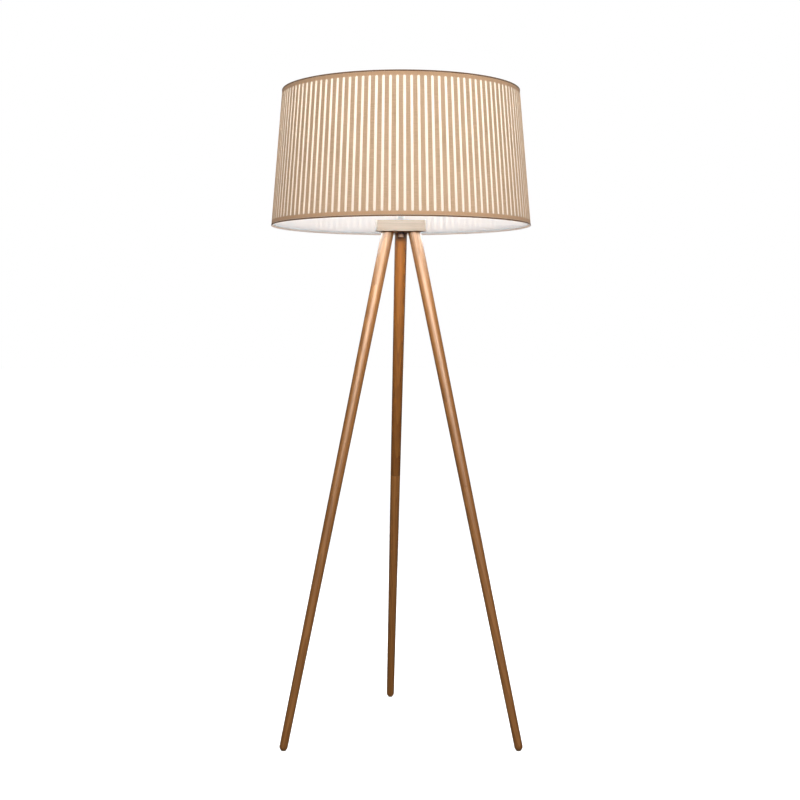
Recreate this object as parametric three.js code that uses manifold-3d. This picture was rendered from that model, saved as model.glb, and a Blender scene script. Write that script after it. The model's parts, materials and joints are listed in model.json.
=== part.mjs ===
// Tripod floor lamp: a slotted drum shade on a wooden hub and three screwed wooden legs.
// Millimetres, +Z up. The origin is on the floor under the middle of the shade, and the front is -Y.

import * as THREE from 'three';
import { mergeVertices } from 'three/addons/utils/BufferGeometryUtils.js';
import Module from 'manifold-3d';

const wasm = await Module();
wasm.setup();

// ---- Driving dimensions ----

const GAP = 0.3; // clearance between touching pieces

// Shade
const SHADE_BOTTOM = 1225;
const SHADE_HEIGHT = 320;
const SHADE_BOTTOM_RADIUS = 309.4;
const SHADE_TOP_RADIUS = 282;
const SLOT_COUNT = 116;
const SLOT_WIDTH = 6;
const SLOT_MARGIN = 11.5; // plain band above and below the slots
const SLEEVE_THICKNESS = 0.8;
const LINER_THICKNESS = 0.9;
const HEM_HEIGHT = 3;
const HEM_PROUD = 0.6;
const RING_WIRE_RADIUS = 2;

// Hub
const HUB_BOTTOM = 1211.5;
const HUB_THICKNESS = 26.5;
const HUB_FACE = 112; // each long side of the triangle
const HUB_CORNER = 9.4; // each cut corner
const HUB_EDGE = 1;

// Legs
const LEG_AZIMUTHS = { left: 210, right: 330, rear: 90 };
const LEG_SWAY = { left: 0, right: 0, rear: 5.8 }; // degrees that a leg stands off its radial line
const LEG_TILT = THREE.MathUtils.degToRad(13.08);
const LEG_SOCKET_RADIUS = 36.4; // leg axis from the lamp's axis, at the hub's underside
const LEG_TOP_RADIUS = 14.8;
const LEG_FOOT_RADIUS = 9.8;
const UPPER_LEG_LENGTH = 618.5;

// Hardware
const STEM_RADIUS = 5;
const STEM_BORE = 3.9;
const STEM_BOTTOM = 1203;
const STEM_TOP = 1349;
const WASHER_RADIUS = 8.5;
const WASHER_THICKNESS = 1;
const LOCK_NUT_RADIUS = 8.5; // across its corners
const LOCK_NUT_HEIGHT = 3;
const GLAND_WALL = 1.4;
const BOLT_RADIUS = 4;
const BOLT_HEAD_RADIUS = 6.5;
const BOLT_HEAD_HEIGHT = 5;
const BOLT_SEAT = 16; // underside of the bolt's head, above the hub's underside along the leg
const BOLT_REACH = 23; // shank below the hub's underside
const INSERT_RADIUS = 5.7;
const INSERT_LENGTH = 20;
const INSERT_DEPTH = 2.5; // top insert below the leg's top
const STUD_REACH = 19; // stud above the seam, in the upper leg
const STUD_ROOT = 25; // stud below the seam, in the lower leg
const GLIDE_HEIGHT = 2.2;
const FLANGE_RADIUS = 19;
const FLANGE_THICKNESS = 3;
const COLLAR_RADIUS = 8;
const COLLAR_HEIGHT = 8;
const FLANGE_SCREW_CIRCLE = 13.2;
const SCREW_RADIUS = 1.75;
const SCREW_HEAD_RADIUS = 3.4;
const SCREW_LENGTH = 16;

// Lampholder and bulb
const HOLDER_RADIUS = 19.5;
const HOLDER_WALL = 2;
const HOLDER_BOTTOM = 1337;
const HOLDER_JOINT = 1360; // seam between the base cap and the body
const HOLDER_SHOULDER = 1395; // the shade's fitter ring rests here
const HOLDER_TOP = 1424;
const SWITCH_HEIGHT = 1372;
const SPINDLE_RADIUS = 1.6;
const KNOB_RADIUS = 6;
const KNOB_LENGTH = 13;
const FITTER_THICKNESS = 2;
const FITTER_RADIUS = 30;
const RETAINING_RING_HEIGHT = 11;
const ARM_AZIMUTHS = LEG_AZIMUTHS; // each arm of the fitter stands over a leg
const ARM_RADIUS = 2;
const ARM_LEVEL_END = 14; // level part at each end of an arm, before its bend
const ARM_BEND = 0.12; // share of the sloping part that each bend takes
const BULB_CAP_RADIUS = 13.2;
const BULB_CAP_BOTTOM = 1385;
const BULB_CAP_HEIGHT = 24;
const SCREW_SHELL_RADIUS = BULB_CAP_RADIUS + 2.2;
const SCREW_SHELL_WALL = 0.8;
const BULB_RADIUS = 30;
const BULB_TOP = 1492;

// Fineness of round pieces
const SHADE_SIDES = SLOT_COUNT;
const RING_SIDES = SLOT_COUNT / 2;
const LEG_SIDES = 16;
const HOLDER_SIDES = 24;
const SMALL_SIDES = 12;

// ---- Derived places ----

const SHADE_TOP = SHADE_BOTTOM + SHADE_HEIGHT;
const HUB_TOP = HUB_BOTTOM + HUB_THICKNESS;
const FLANGE_TOP = HUB_TOP + GAP + FLANGE_THICKNESS;
const FOOT_DISTANCE = (HUB_BOTTOM - LEG_FOOT_RADIUS) / Math.cos(LEG_TILT); // socket to foot's centre
const LEG_TAPER = (LEG_TOP_RADIUS - LEG_FOOT_RADIUS) / FOOT_DISTANCE;
const INSULATOR_TOP = SWITCH_HEIGHT + 8;

// ---- Materials ----

function material(colour, roughness, metalness) {
  return new THREE.MeshStandardMaterial({ color: colour, roughness, metalness });
}

const MATERIALS = {
  fabric: material('#cfac8c', 0.9, 0),
  liner: material('#fbf6ec', 0.8, 0),
  hem: material('#9c8468', 0.9, 0),
  wood: material('#a87a52', 0.55, 0),
  hubWood: material('#c99b70', 0.55, 0),
  steel: material('#b4b6b8', 0.35, 1),
  brass: material('#c8a45a', 0.35, 1),
  whiteMetal: material('#f2f1ee', 0.4, 0.1),
  whitePlastic: material('#efede8', 0.45, 0),
  ceramic: material('#f5f3ee', 0.3, 0),
  glide: material('#d8c7ae', 0.6, 0),
  glass: material('#fffaf0', 0.3, 0),
};

// ---- Geometry helpers ----

// A profile is a list of [radius, height]. It starts and ends on the axis, or closes on itself.
function lathe(profile, sides) {
  const points = profile.map(([radius, height]) => new THREE.Vector2(radius, height));
  if (points[0].x > 0) {
    points.push(points[0].clone());
  }
  if (THREE.ShapeUtils.isClockWise(points)) {
    points.reverse();
  }
  const geometry = new THREE.LatheGeometry(points, sides);
  return geometry.rotateX(Math.PI / 2);
}

// A tube or washer: a rectangle turned around the axis.
function tube(inner, outer, bottom, top, sides) {
  return lathe([[inner, bottom], [outer, bottom], [outer, top], [inner, top]], sides);
}

function rod(radius, bottom, top, sides) {
  return lathe([[0, bottom], [radius, bottom], [radius, top], [0, top]], sides);
}

// A box that lies above its origin's horizontal plane, or below it.
function halfSpace(size, sign) {
  return new THREE.BoxGeometry(size, size, size).translate(0, 0, sign * size / 2);
}

function toManifold(geometry) {
  const plain = geometry.clone();
  plain.deleteAttribute('normal');
  plain.deleteAttribute('uv');
  const merged = mergeVertices(plain, 1e-4);
  const triangles = [];
  for (let i = 0; i < merged.index.count; i += 3) {
    const corners = [0, 1, 2].map((k) => merged.index.getX(i + k));
    if (new Set(corners).size === 3) {
      triangles.push(...corners);
    }
  }
  return new wasm.Manifold(new wasm.Mesh({
    numProp: 3,
    vertProperties: new Float32Array(merged.attributes.position.array),
    triVerts: new Uint32Array(triangles),
  }));
}

function toGeometry(manifold) {
  const mesh = manifold.getMesh();
  const geometry = new THREE.BufferGeometry();
  geometry.setAttribute('position', new THREE.BufferAttribute(mesh.vertProperties, 3));
  geometry.setIndex(new THREE.BufferAttribute(mesh.triVerts, 1));
  return geometry;
}

// The solid less each of the cutters.
function cut(geometry, cutters) {
  let solid = toManifold(geometry);
  for (const cutter of cutters) {
    solid = solid.subtract(toManifold(cutter));
  }
  return toGeometry(solid);
}

function polar(radius, azimuth) {
  const angle = THREE.MathUtils.degToRad(azimuth);
  return new THREE.Vector2(radius * Math.cos(angle), radius * Math.sin(angle));
}

function arc(centreRadius, centreHeight, radius, from, to, steps) {
  const points = [];
  for (let i = 0; i <= steps; i += 1) {
    const angle = THREE.MathUtils.degToRad(from + (to - from) * i / steps);
    points.push([centreRadius + radius * Math.cos(angle), centreHeight + radius * Math.sin(angle)]);
  }
  return points;
}

// ---- Assembly helpers ----

const lamp = new THREE.Group();

function add(parent, name, geometry, finish) {
  const mesh = new THREE.Mesh(geometry, finish);
  mesh.name = name;
  parent.add(mesh);
}

// The frame of a leg: its origin is where the leg's axis meets the hub's underside, and its -Z runs down
// the leg. X leans outwards.
function legTransform(side) {
  const socket = polar(LEG_SOCKET_RADIUS, LEG_AZIMUTHS[side]);
  const lean = THREE.MathUtils.degToRad(LEG_AZIMUTHS[side] + LEG_SWAY[side]);
  const turn = new THREE.Quaternion().setFromEuler(new THREE.Euler(0, -LEG_TILT, lean, 'ZYX'));
  const place = new THREE.Vector3(socket.x, socket.y, HUB_BOTTOM);
  return new THREE.Matrix4().compose(place, turn, new THREE.Vector3(1, 1, 1));
}

// ---- Shade ----

// Outer radius of the sleeve at a height. The whole shade follows this cone.
function sleeveRadius(height) {
  const part = (height - SHADE_BOTTOM) / SHADE_HEIGHT;
  return THREE.MathUtils.lerp(SHADE_BOTTOM_RADIUS, SHADE_TOP_RADIUS, part);
}

// A conical shell whose outer face is offset inwards from the sleeve's.
function shadeShell(offset, thickness, bottom, top) {
  const low = sleeveRadius(bottom) - offset;
  const high = sleeveRadius(top) - offset;
  const section = [[low - thickness, bottom], [low, bottom], [high, top], [high - thickness, top]];
  return lathe(section, SHADE_SIDES);
}

// The sleeve is a ring of flat facets, each with one slot through its middle. Ribbons of fabric are left
// where two facets meet, so that a ribbon stands at the middle of the front.
function shadeSleeve(bottom, top) {
  const positions = [];
  const triangle = (a, b, c) => positions.push(...a, ...b, ...c);
  const quad = (a, b, c, d) => {
    triangle(a, b, c);
    triangle(a, c, d);
  };
  const halfPitch = Math.PI / SLOT_COUNT;
  const slotBottom = SHADE_BOTTOM + SLOT_MARGIN;
  const slotTop = SHADE_TOP - SLOT_MARGIN;

  for (let index = 0; index < SLOT_COUNT; index += 1) {
    const middle = -Math.PI / 2 + (2 * index + 1) * halfPitch;
    const outward = new THREE.Vector2(Math.cos(middle), Math.sin(middle));
    // A point of the facet: its offset to one side of the facet's middle line, and its height.
    const point = (offset, height, inset) => {
      const apothem = (sleeveRadius(height) - inset) * Math.cos(halfPitch);
      return [apothem * outward.x - offset * outward.y, apothem * outward.y + offset * outward.x, height];
    };
    const halfFacet = (height, inset) => (sleeveRadius(height) - inset) * Math.sin(halfPitch);
    const edge = (inset) => [
      point(-halfFacet(bottom, inset), bottom, inset), point(halfFacet(bottom, inset), bottom, inset),
      point(halfFacet(top, inset), top, inset), point(-halfFacet(top, inset), top, inset),
    ];
    const slot = (inset) => [
      point(-SLOT_WIDTH / 2, slotBottom, inset), point(SLOT_WIDTH / 2, slotBottom, inset),
      point(SLOT_WIDTH / 2, slotTop, inset), point(-SLOT_WIDTH / 2, slotTop, inset),
    ];
    const [outerEdge, innerEdge] = [edge(0), edge(SLEEVE_THICKNESS)];
    const [outerSlot, innerSlot] = [slot(0), slot(SLEEVE_THICKNESS)];
    for (let k = 0; k < 4; k += 1) {
      const next = (k + 1) % 4;
      quad(outerEdge[k], outerEdge[next], outerSlot[next], outerSlot[k]);
      quad(innerEdge[next], innerEdge[k], innerSlot[k], innerSlot[next]);
      quad(outerSlot[k], outerSlot[next], innerSlot[next], innerSlot[k]);
    }
    quad(innerEdge[0], innerEdge[1], outerEdge[1], outerEdge[0]);
    quad(outerEdge[3], outerEdge[2], innerEdge[2], innerEdge[3]);
  }

  const geometry = new THREE.BufferGeometry();
  geometry.setAttribute('position', new THREE.Float32BufferAttribute(positions, 3));
  return mergeVertices(geometry, 1e-3);
}

// The rolled edge that covers the ends of the sleeve and the liner.
function hem(bottom) {
  const top = bottom + HEM_HEIGHT;
  const middle = (bottom + top) / 2;
  const outer = sleeveRadius(middle) + HEM_PROUD;
  const inner = outer - HEM_PROUD - SLEEVE_THICKNESS - LINER_THICKNESS - 2 * GAP;
  const round = HEM_HEIGHT / 3;
  return lathe([
    [inner, bottom], [outer - round, bottom], [outer, bottom + round],
    [outer, top - round], [outer - round, top], [inner, top],
  ], RING_SIDES);
}

function ringRadius(height) {
  return sleeveRadius(height) - SLEEVE_THICKNESS - GAP - LINER_THICKNESS - 2 * GAP - RING_WIRE_RADIUS;
}

function wireRing(height) {
  const section = arc(ringRadius(height), height, RING_WIRE_RADIUS, 0, 288, 4);
  return lathe(section, RING_SIDES);
}

// An arm leaves the top ring level, bends down to the fitter ring and ends level beside it.
function fitterArm(ringHeight, fitterHeight) {
  const ringFacet = ringRadius(ringHeight) * (1 - Math.cos(Math.PI / RING_SIDES));
  const outer = ringRadius(ringHeight) - RING_WIRE_RADIUS - ringFacet - GAP;
  const inner = FITTER_RADIUS + GAP;
  const start = new THREE.Vector3(outer, 0, ringHeight);
  const upperCorner = new THREE.Vector3(outer - ARM_LEVEL_END, 0, ringHeight);
  const lowerCorner = new THREE.Vector3(inner + ARM_LEVEL_END, 0, fitterHeight);
  const end = new THREE.Vector3(inner, 0, fitterHeight);
  const slopeStart = upperCorner.clone().lerp(lowerCorner, ARM_BEND);
  const slopeEnd = lowerCorner.clone().lerp(upperCorner, ARM_BEND);
  const path = new THREE.CurvePath();
  path.add(new THREE.QuadraticBezierCurve3(start, upperCorner, slopeStart));
  path.add(new THREE.LineCurve3(slopeStart, slopeEnd));
  path.add(new THREE.QuadraticBezierCurve3(slopeEnd, lowerCorner, end));
  const section = new THREE.Shape().absarc(0, 0, ARM_RADIUS, 0, 2 * Math.PI);
  return new THREE.ExtrudeGeometry(section, { steps: 12, curveSegments: 4, extrudePath: path });
}

function buildShade() {
  const edgeBottom = SHADE_BOTTOM + HEM_HEIGHT + GAP;
  const edgeTop = SHADE_TOP - HEM_HEIGHT - GAP;
  const linerOffset = SLEEVE_THICKNESS + GAP;
  add(lamp, 'shade_sleeve', shadeSleeve(edgeBottom, edgeTop), MATERIALS.fabric);
  add(lamp, 'shade_liner', shadeShell(linerOffset, LINER_THICKNESS, edgeBottom, edgeTop), MATERIALS.liner);
  add(lamp, 'shade_hem_bottom', hem(SHADE_BOTTOM), MATERIALS.hem);
  add(lamp, 'shade_hem_top', hem(SHADE_TOP - HEM_HEIGHT), MATERIALS.hem);

  const lowRing = edgeBottom + RING_WIRE_RADIUS;
  const highRing = edgeTop - RING_WIRE_RADIUS;
  add(lamp, 'shade_ring_bottom', wireRing(lowRing), MATERIALS.whiteMetal);
  add(lamp, 'shade_ring_top', wireRing(highRing), MATERIALS.whiteMetal);

  const fitterBottom = HOLDER_SHOULDER + GAP;
  const fitterTop = fitterBottom + FITTER_THICKNESS;
  const bore = HOLDER_RADIUS + 2 * GAP;
  const fitterRing = tube(bore, FITTER_RADIUS, fitterBottom, fitterTop, HOLDER_SIDES);
  add(lamp, 'fitter_ring', fitterRing, MATERIALS.whiteMetal);
  const arm = fitterArm(highRing, fitterBottom + FITTER_THICKNESS / 2);
  Object.entries(ARM_AZIMUTHS).forEach(([side, azimuth]) => {
    const turned = arm.clone().rotateZ(THREE.MathUtils.degToRad(azimuth));
    add(lamp, `fitter_arm_${side}`, turned, MATERIALS.whiteMetal);
  });
}

// ---- Hub ----

function hubOutline() {
  const side = HUB_FACE + 2 * HUB_CORNER;
  const cornerDistance = side / Math.sqrt(3) - HUB_CORNER * Math.sqrt(3) / 2;
  const points = [];
  for (const azimuth of Object.values(LEG_AZIMUTHS).sort((a, b) => a - b)) {
    const corner = polar(cornerDistance, azimuth);
    const along = polar(HUB_CORNER / 2, azimuth + 90);
    points.push(corner.clone().sub(along), corner.clone().add(along));
  }
  return new THREE.Shape(points);
}

function flangeScrewPlaces() {
  return Object.values(LEG_AZIMUTHS).map((azimuth) => polar(FLANGE_SCREW_CIRCLE, azimuth + 60));
}

function hub() {
  const plate = new THREE.ExtrudeGeometry(hubOutline(), {
    depth: HUB_THICKNESS - 2 * HUB_EDGE,
    bevelThickness: HUB_EDGE,
    bevelSize: HUB_EDGE,
    bevelOffset: -HUB_EDGE,
    bevelSegments: 1,
  }).translate(0, 0, HUB_BOTTOM + HUB_EDGE);

  const reach = 2 * HUB_THICKNESS;
  const stemHole = rod(STEM_RADIUS + GAP, HUB_BOTTOM - reach, HUB_TOP + reach, SMALL_SIDES);
  const boltHoles = Object.keys(LEG_AZIMUTHS).map((side) => {
    const shank = rod(BOLT_RADIUS + GAP, -reach, reach, SMALL_SIDES);
    return shank.applyMatrix4(legTransform(side));
  });
  const boltSeats = Object.keys(LEG_AZIMUTHS).map((side) => {
    const seat = rod(BOLT_HEAD_RADIUS + 3 * GAP, BOLT_SEAT - GAP, BOLT_SEAT + reach, SMALL_SIDES);
    return seat.applyMatrix4(legTransform(side));
  });
  const screwHoles = flangeScrewPlaces().map((place) => {
    const hole = rod(SCREW_RADIUS + GAP, HUB_TOP - SCREW_LENGTH, HUB_TOP + 1, SMALL_SIDES);
    return hole.translate(place.x, place.y, 0);
  });
  return cut(plate, [stemHole, ...boltHoles, ...boltSeats, ...screwHoles]);
}

// ---- Legs, in the frame of a leg ----

function legRadius(distance) {
  return LEG_TOP_RADIUS - LEG_TAPER * distance;
}

// The upper leg is cut level under the hub. It has a blind bore at each end for a threaded insert.
function upperLeg() {
  const bore = INSERT_RADIUS + GAP;
  const overlength = 8;
  const topBore = -(INSERT_DEPTH + INSERT_LENGTH + 2);
  const seam = -UPPER_LEG_LENGTH;
  const dowel = lathe([
    [0, topBore], [bore, topBore], [bore, overlength], [legRadius(-overlength), overlength],
    [legRadius(UPPER_LEG_LENGTH), seam], [bore, seam], [bore, seam + INSERT_LENGTH + 1],
    [0, seam + INSERT_LENGTH + 1],
  ], LEG_SIDES);
  const above = halfSpace(4 * LEG_TOP_RADIUS, 1).translate(0, 0, -GAP).rotateY(LEG_TILT);
  return cut(dowel, [above]);
}

// The lower leg ends in a half ball, cut level over the glide. Its upper end has a bore for the stud.
function lowerLeg() {
  const seam = -UPPER_LEG_LENGTH - GAP;
  const bore = BOLT_RADIUS + GAP;
  const foot = arc(0, -FOOT_DISTANCE, LEG_FOOT_RADIUS, -90, 0, 6);
  const dowel = lathe([
    ...foot, [legRadius(UPPER_LEG_LENGTH), seam], [bore, seam], [bore, seam - STUD_ROOT - 1],
    [0, seam - STUD_ROOT - 1],
  ], LEG_SIDES);
  const underneath = halfSpace(4 * LEG_FOOT_RADIUS, -1);
  underneath.translate(0, 0, GLIDE_HEIGHT + GAP - LEG_FOOT_RADIUS);
  underneath.rotateY(LEG_TILT).translate(0, 0, -FOOT_DISTANCE);
  return cut(dowel, [underneath]);
}

function legInsert(top) {
  return tube(BOLT_RADIUS + GAP, INSERT_RADIUS, top - INSERT_LENGTH, top, SMALL_SIDES);
}

function legStud() {
  const seam = -UPPER_LEG_LENGTH;
  return rod(BOLT_RADIUS, seam - STUD_ROOT, seam + STUD_REACH, SMALL_SIDES);
}

// A socket-head bolt with a hexagonal drive.
function legBolt() {
  const top = BOLT_SEAT + BOLT_HEAD_HEIGHT;
  const body = lathe([
    [0, -BOLT_REACH], [BOLT_RADIUS, -BOLT_REACH], [BOLT_RADIUS, BOLT_SEAT], [BOLT_HEAD_RADIUS, BOLT_SEAT],
    [BOLT_HEAD_RADIUS, top], [0, top],
  ], SMALL_SIDES);
  const drive = rod(BOLT_RADIUS * 0.85, top - BOLT_HEAD_HEIGHT * 0.6, top + 1, 6);
  return cut(body, [drive]);
}

// A small pad with a flat underside on the floor.
function footGlide() {
  const bottomRadius = LEG_FOOT_RADIUS / 2;
  const topRadius = LEG_FOOT_RADIUS * 0.62;
  return lathe([
    [0, 0], [bottomRadius, 0], [topRadius, GLIDE_HEIGHT * 0.5], [topRadius, GLIDE_HEIGHT], [0, GLIDE_HEIGHT],
  ], LEG_SIDES);
}

function buildLeg(side) {
  const frame = new THREE.Group();
  frame.applyMatrix4(legTransform(side));
  lamp.add(frame);
  add(frame, `upper_leg_${side}`, upperLeg(), MATERIALS.wood);
  add(frame, `lower_leg_${side}`, lowerLeg(), MATERIALS.wood);
  add(frame, `leg_bolt_${side}`, legBolt(), MATERIALS.steel);
  add(frame, `leg_top_insert_${side}`, legInsert(-INSERT_DEPTH), MATERIALS.brass);
  add(frame, `leg_seam_insert_${side}`, legInsert(-UPPER_LEG_LENGTH + INSERT_LENGTH), MATERIALS.brass);
  add(frame, `leg_stud_${side}`, legStud(), MATERIALS.steel);

  const foot = new THREE.Vector3(0, 0, -FOOT_DISTANCE).applyMatrix4(legTransform(side));
  add(lamp, `foot_glide_${side}`, footGlide().translate(foot.x, foot.y, 0), MATERIALS.glide);
}

// ---- Stem and its fastenings ----

function lockNut(bottom, top) {
  const blank = rod(LOCK_NUT_RADIUS, bottom, top, 6);
  return cut(blank, [rod(STEM_RADIUS + GAP, bottom - 1, top + 1, SMALL_SIDES)]);
}

// The cup on the stem's lower end, with a smaller hole for the cord.
function cableGland(top) {
  const lip = STEM_BOTTOM - GAP;
  const bottom = lip - 2 * GLAND_WALL;
  const mouth = STEM_BORE - GAP;
  const inner = STEM_RADIUS + GAP;
  const outer = inner + GLAND_WALL;
  return lathe([
    [mouth, bottom], [inner, bottom], [outer, bottom + GLAND_WALL], [outer, top], [inner, top], [inner, lip],
    [mouth, lip],
  ], SMALL_SIDES);
}

function stemFlange() {
  const bottom = HUB_TOP + GAP;
  const collarTop = FLANGE_TOP + COLLAR_HEIGHT;
  const bore = STEM_RADIUS + GAP;
  const body = lathe([
    [bore, bottom], [FLANGE_RADIUS, bottom], [FLANGE_RADIUS, FLANGE_TOP], [COLLAR_RADIUS, FLANGE_TOP],
    [COLLAR_RADIUS, collarTop], [bore, collarTop],
  ], HOLDER_SIDES);
  const shank = SCREW_RADIUS + GAP;
  const head = SCREW_HEAD_RADIUS + GAP;
  const countersink = lathe([
    [0, bottom - 1], [shank, bottom - 1], [shank, bottom + 1], [head, FLANGE_TOP - GAP],
    [head, FLANGE_TOP + 1], [0, FLANGE_TOP + 1],
  ], SMALL_SIDES);
  return cut(body, flangeScrewPlaces().map((place) => countersink.clone().translate(place.x, place.y, 0)));
}

function flangeScrew() {
  const tip = HUB_TOP - SCREW_LENGTH + 1;
  const seat = HUB_TOP + GAP + 1 + GAP;
  const body = lathe([
    [0, tip], [SCREW_RADIUS, tip + 2 * SCREW_RADIUS], [SCREW_RADIUS, seat],
    [SCREW_HEAD_RADIUS, FLANGE_TOP], [0, FLANGE_TOP],
  ], SMALL_SIDES);
  const slotWidth = 0.8;
  const crossSlots = [0, Math.PI / 2].map((turn) => (
    new THREE.BoxGeometry(SCREW_HEAD_RADIUS, slotWidth, 2).rotateZ(turn).translate(0, 0, FLANGE_TOP)
  ));
  return cut(body, crossSlots);
}

function buildStem() {
  const washerTop = HUB_BOTTOM - GAP;
  const washerBottom = washerTop - WASHER_THICKNESS;
  const nutTop = washerBottom - GAP;
  const nutBottom = nutTop - LOCK_NUT_HEIGHT;
  const stem = tube(STEM_BORE, STEM_RADIUS, STEM_BOTTOM, STEM_TOP, SMALL_SIDES);
  const washer = tube(STEM_RADIUS + GAP, WASHER_RADIUS, washerBottom, washerTop, SMALL_SIDES);
  add(lamp, 'stem', stem, MATERIALS.whiteMetal);
  add(lamp, 'stem_flange', stemFlange(), MATERIALS.whiteMetal);
  add(lamp, 'stem_washer', washer, MATERIALS.steel);
  add(lamp, 'stem_lock_nut', lockNut(nutBottom, nutTop), MATERIALS.steel);
  add(lamp, 'cable_gland', cableGland(nutBottom - GAP), MATERIALS.whitePlastic);
  flangeScrewPlaces().forEach((place, index) => {
    add(lamp, `flange_screw_${index + 1}`, flangeScrew().translate(place.x, place.y, 0), MATERIALS.steel);
  });
}

// ---- Lampholder ----

function holderCap() {
  const bore = STEM_RADIUS + GAP;
  const neck = bore + HOLDER_WALL;
  const shoulder = HOLDER_BOTTOM + 10;
  const inner = HOLDER_RADIUS - HOLDER_WALL;
  return lathe([
    [bore, HOLDER_BOTTOM], [neck, HOLDER_BOTTOM], [neck + 3, HOLDER_BOTTOM + 4],
    [HOLDER_RADIUS - 2, shoulder - 2], [HOLDER_RADIUS, shoulder + 2], [HOLDER_RADIUS, HOLDER_JOINT],
    [inner, HOLDER_JOINT], [inner, shoulder + 3], [bore, shoulder + 3],
  ], HOLDER_SIDES);
}

// The body carries the shoulder that the shade rests on and the skirt that its retaining ring screws on.
function holderBody() {
  const bottom = HOLDER_JOINT + GAP;
  const inner = HOLDER_RADIUS - HOLDER_WALL;
  const shoulderRadius = HOLDER_RADIUS + 4;
  const shell = lathe([
    [inner, bottom], [HOLDER_RADIUS, bottom], [HOLDER_RADIUS, HOLDER_SHOULDER - 5],
    [shoulderRadius, HOLDER_SHOULDER - 2], [shoulderRadius, HOLDER_SHOULDER],
    [HOLDER_RADIUS, HOLDER_SHOULDER], [HOLDER_RADIUS, HOLDER_TOP], [inner, HOLDER_TOP],
  ], HOLDER_SIDES);
  return cut(shell, [alongX(rod(SPINDLE_RADIUS + 2 * GAP, 0, 2 * HOLDER_RADIUS, SMALL_SIDES))]);
}

// Lays a turned piece along +X at the height of the switch.
function alongX(geometry) {
  return geometry.rotateY(Math.PI / 2).translate(0, 0, SWITCH_HEIGHT);
}

function holderInsulator() {
  const radius = HOLDER_RADIUS - HOLDER_WALL - GAP;
  const block = rod(radius, HOLDER_JOINT + 3, INSULATOR_TOP, HOLDER_SIDES);
  const bore = alongX(rod(SPINDLE_RADIUS + GAP, radius / 2, 2 * radius, SMALL_SIDES));
  return cut(block, [bore]);
}

function screwShell() {
  const inner = SCREW_SHELL_RADIUS - SCREW_SHELL_WALL;
  return tube(inner, SCREW_SHELL_RADIUS, INSULATOR_TOP + GAP, HOLDER_SHOULDER + 12, HOLDER_SIDES);
}

function centreContact() {
  const bottom = INSULATOR_TOP + GAP;
  return rod(5, bottom, bottom + 1.2, SMALL_SIDES);
}

// The threaded ring over the fitter ring. Its lower flange presses on it.
function retainingRing() {
  const bottom = HOLDER_SHOULDER + 2 * GAP + FITTER_THICKNESS;
  const top = bottom + RETAINING_RING_HEIGHT;
  const bore = HOLDER_RADIUS + 2 * GAP;
  const skirt = bore + 4;
  const flange = bore + 7;
  return lathe([
    [bore, bottom], [flange, bottom], [flange, bottom + 2.5], [skirt, bottom + 3.5],
    [skirt, top], [bore, top],
  ], HOLDER_SIDES);
}

function switchSpindle() {
  const inner = (HOLDER_RADIUS - HOLDER_WALL - GAP) / 2;
  return alongX(rod(SPINDLE_RADIUS, inner + 1, HOLDER_RADIUS + 7, SMALL_SIDES));
}

// A ribbed knob with a blind bore for the spindle.
function switchKnob() {
  const start = HOLDER_RADIUS + 1;
  const end = start + KNOB_LENGTH;
  const bore = SPINDLE_RADIUS + GAP;
  const body = lathe([
    [bore, start], [KNOB_RADIUS - 1, start], [KNOB_RADIUS, start + 3], [KNOB_RADIUS, end - 1],
    [KNOB_RADIUS - 1, end], [0, end], [0, start + 7], [bore, start + 7],
  ], SMALL_SIDES);
  const ribs = 8;
  const grooves = Array.from({ length: ribs }, (_, index) => {
    const groove = rod(0.9, start + 4, end + 1, 6).translate(KNOB_RADIUS + 0.2, 0, 0);
    return groove.rotateZ(index * 2 * Math.PI / ribs);
  });
  return alongX(cut(body, grooves));
}

function buildHolder() {
  add(lamp, 'holder_cap', holderCap(), MATERIALS.whitePlastic);
  add(lamp, 'holder_body', holderBody(), MATERIALS.whitePlastic);
  add(lamp, 'holder_insulator', holderInsulator(), MATERIALS.ceramic);
  add(lamp, 'holder_screw_shell', screwShell(), MATERIALS.brass);
  add(lamp, 'holder_contact', centreContact(), MATERIALS.brass);
  add(lamp, 'retaining_ring', retainingRing(), MATERIALS.whitePlastic);
  add(lamp, 'switch_spindle', switchSpindle(), MATERIALS.steel);
  add(lamp, 'switch_knob', switchKnob(), MATERIALS.whitePlastic);
}

// ---- Bulb ----

// Frosted bulb: a neck that opens into a ball.
function bulbGlass(bottom) {
  const centre = BULB_TOP - BULB_RADIUS;
  const neck = BULB_CAP_RADIUS - 0.4;
  return lathe([
    [0, bottom], [neck, bottom], [neck + 0.6, bottom + 10], [neck + 4.4, bottom + 22],
    ...arc(0, centre, BULB_RADIUS, -38, 90, 7),
  ], HOLDER_SIDES);
}

function buildBulb() {
  const capTop = BULB_CAP_BOTTOM + BULB_CAP_HEIGHT;
  const cap = lathe([
    [0, BULB_CAP_BOTTOM], [BULB_CAP_RADIUS - 4, BULB_CAP_BOTTOM], [BULB_CAP_RADIUS, BULB_CAP_BOTTOM + 3],
    [BULB_CAP_RADIUS, capTop], [0, capTop],
  ], HOLDER_SIDES);
  const tipTop = BULB_CAP_BOTTOM - GAP;
  const tip = lathe([[0, tipTop - 2.4], [3, tipTop - 2.4], [4.6, tipTop], [0, tipTop]], SMALL_SIDES);
  add(lamp, 'bulb_glass', bulbGlass(capTop + GAP), MATERIALS.glass);
  add(lamp, 'bulb_cap', cap, MATERIALS.steel);
  add(lamp, 'bulb_contact', tip, MATERIALS.brass);
}

// ---- The lamp ----

add(lamp, 'hub', hub(), MATERIALS.hubWood);
Object.keys(LEG_AZIMUTHS).forEach(buildLeg);
buildStem();
buildHolder();
buildBulb();
buildShade();

export default lamp;
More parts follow.
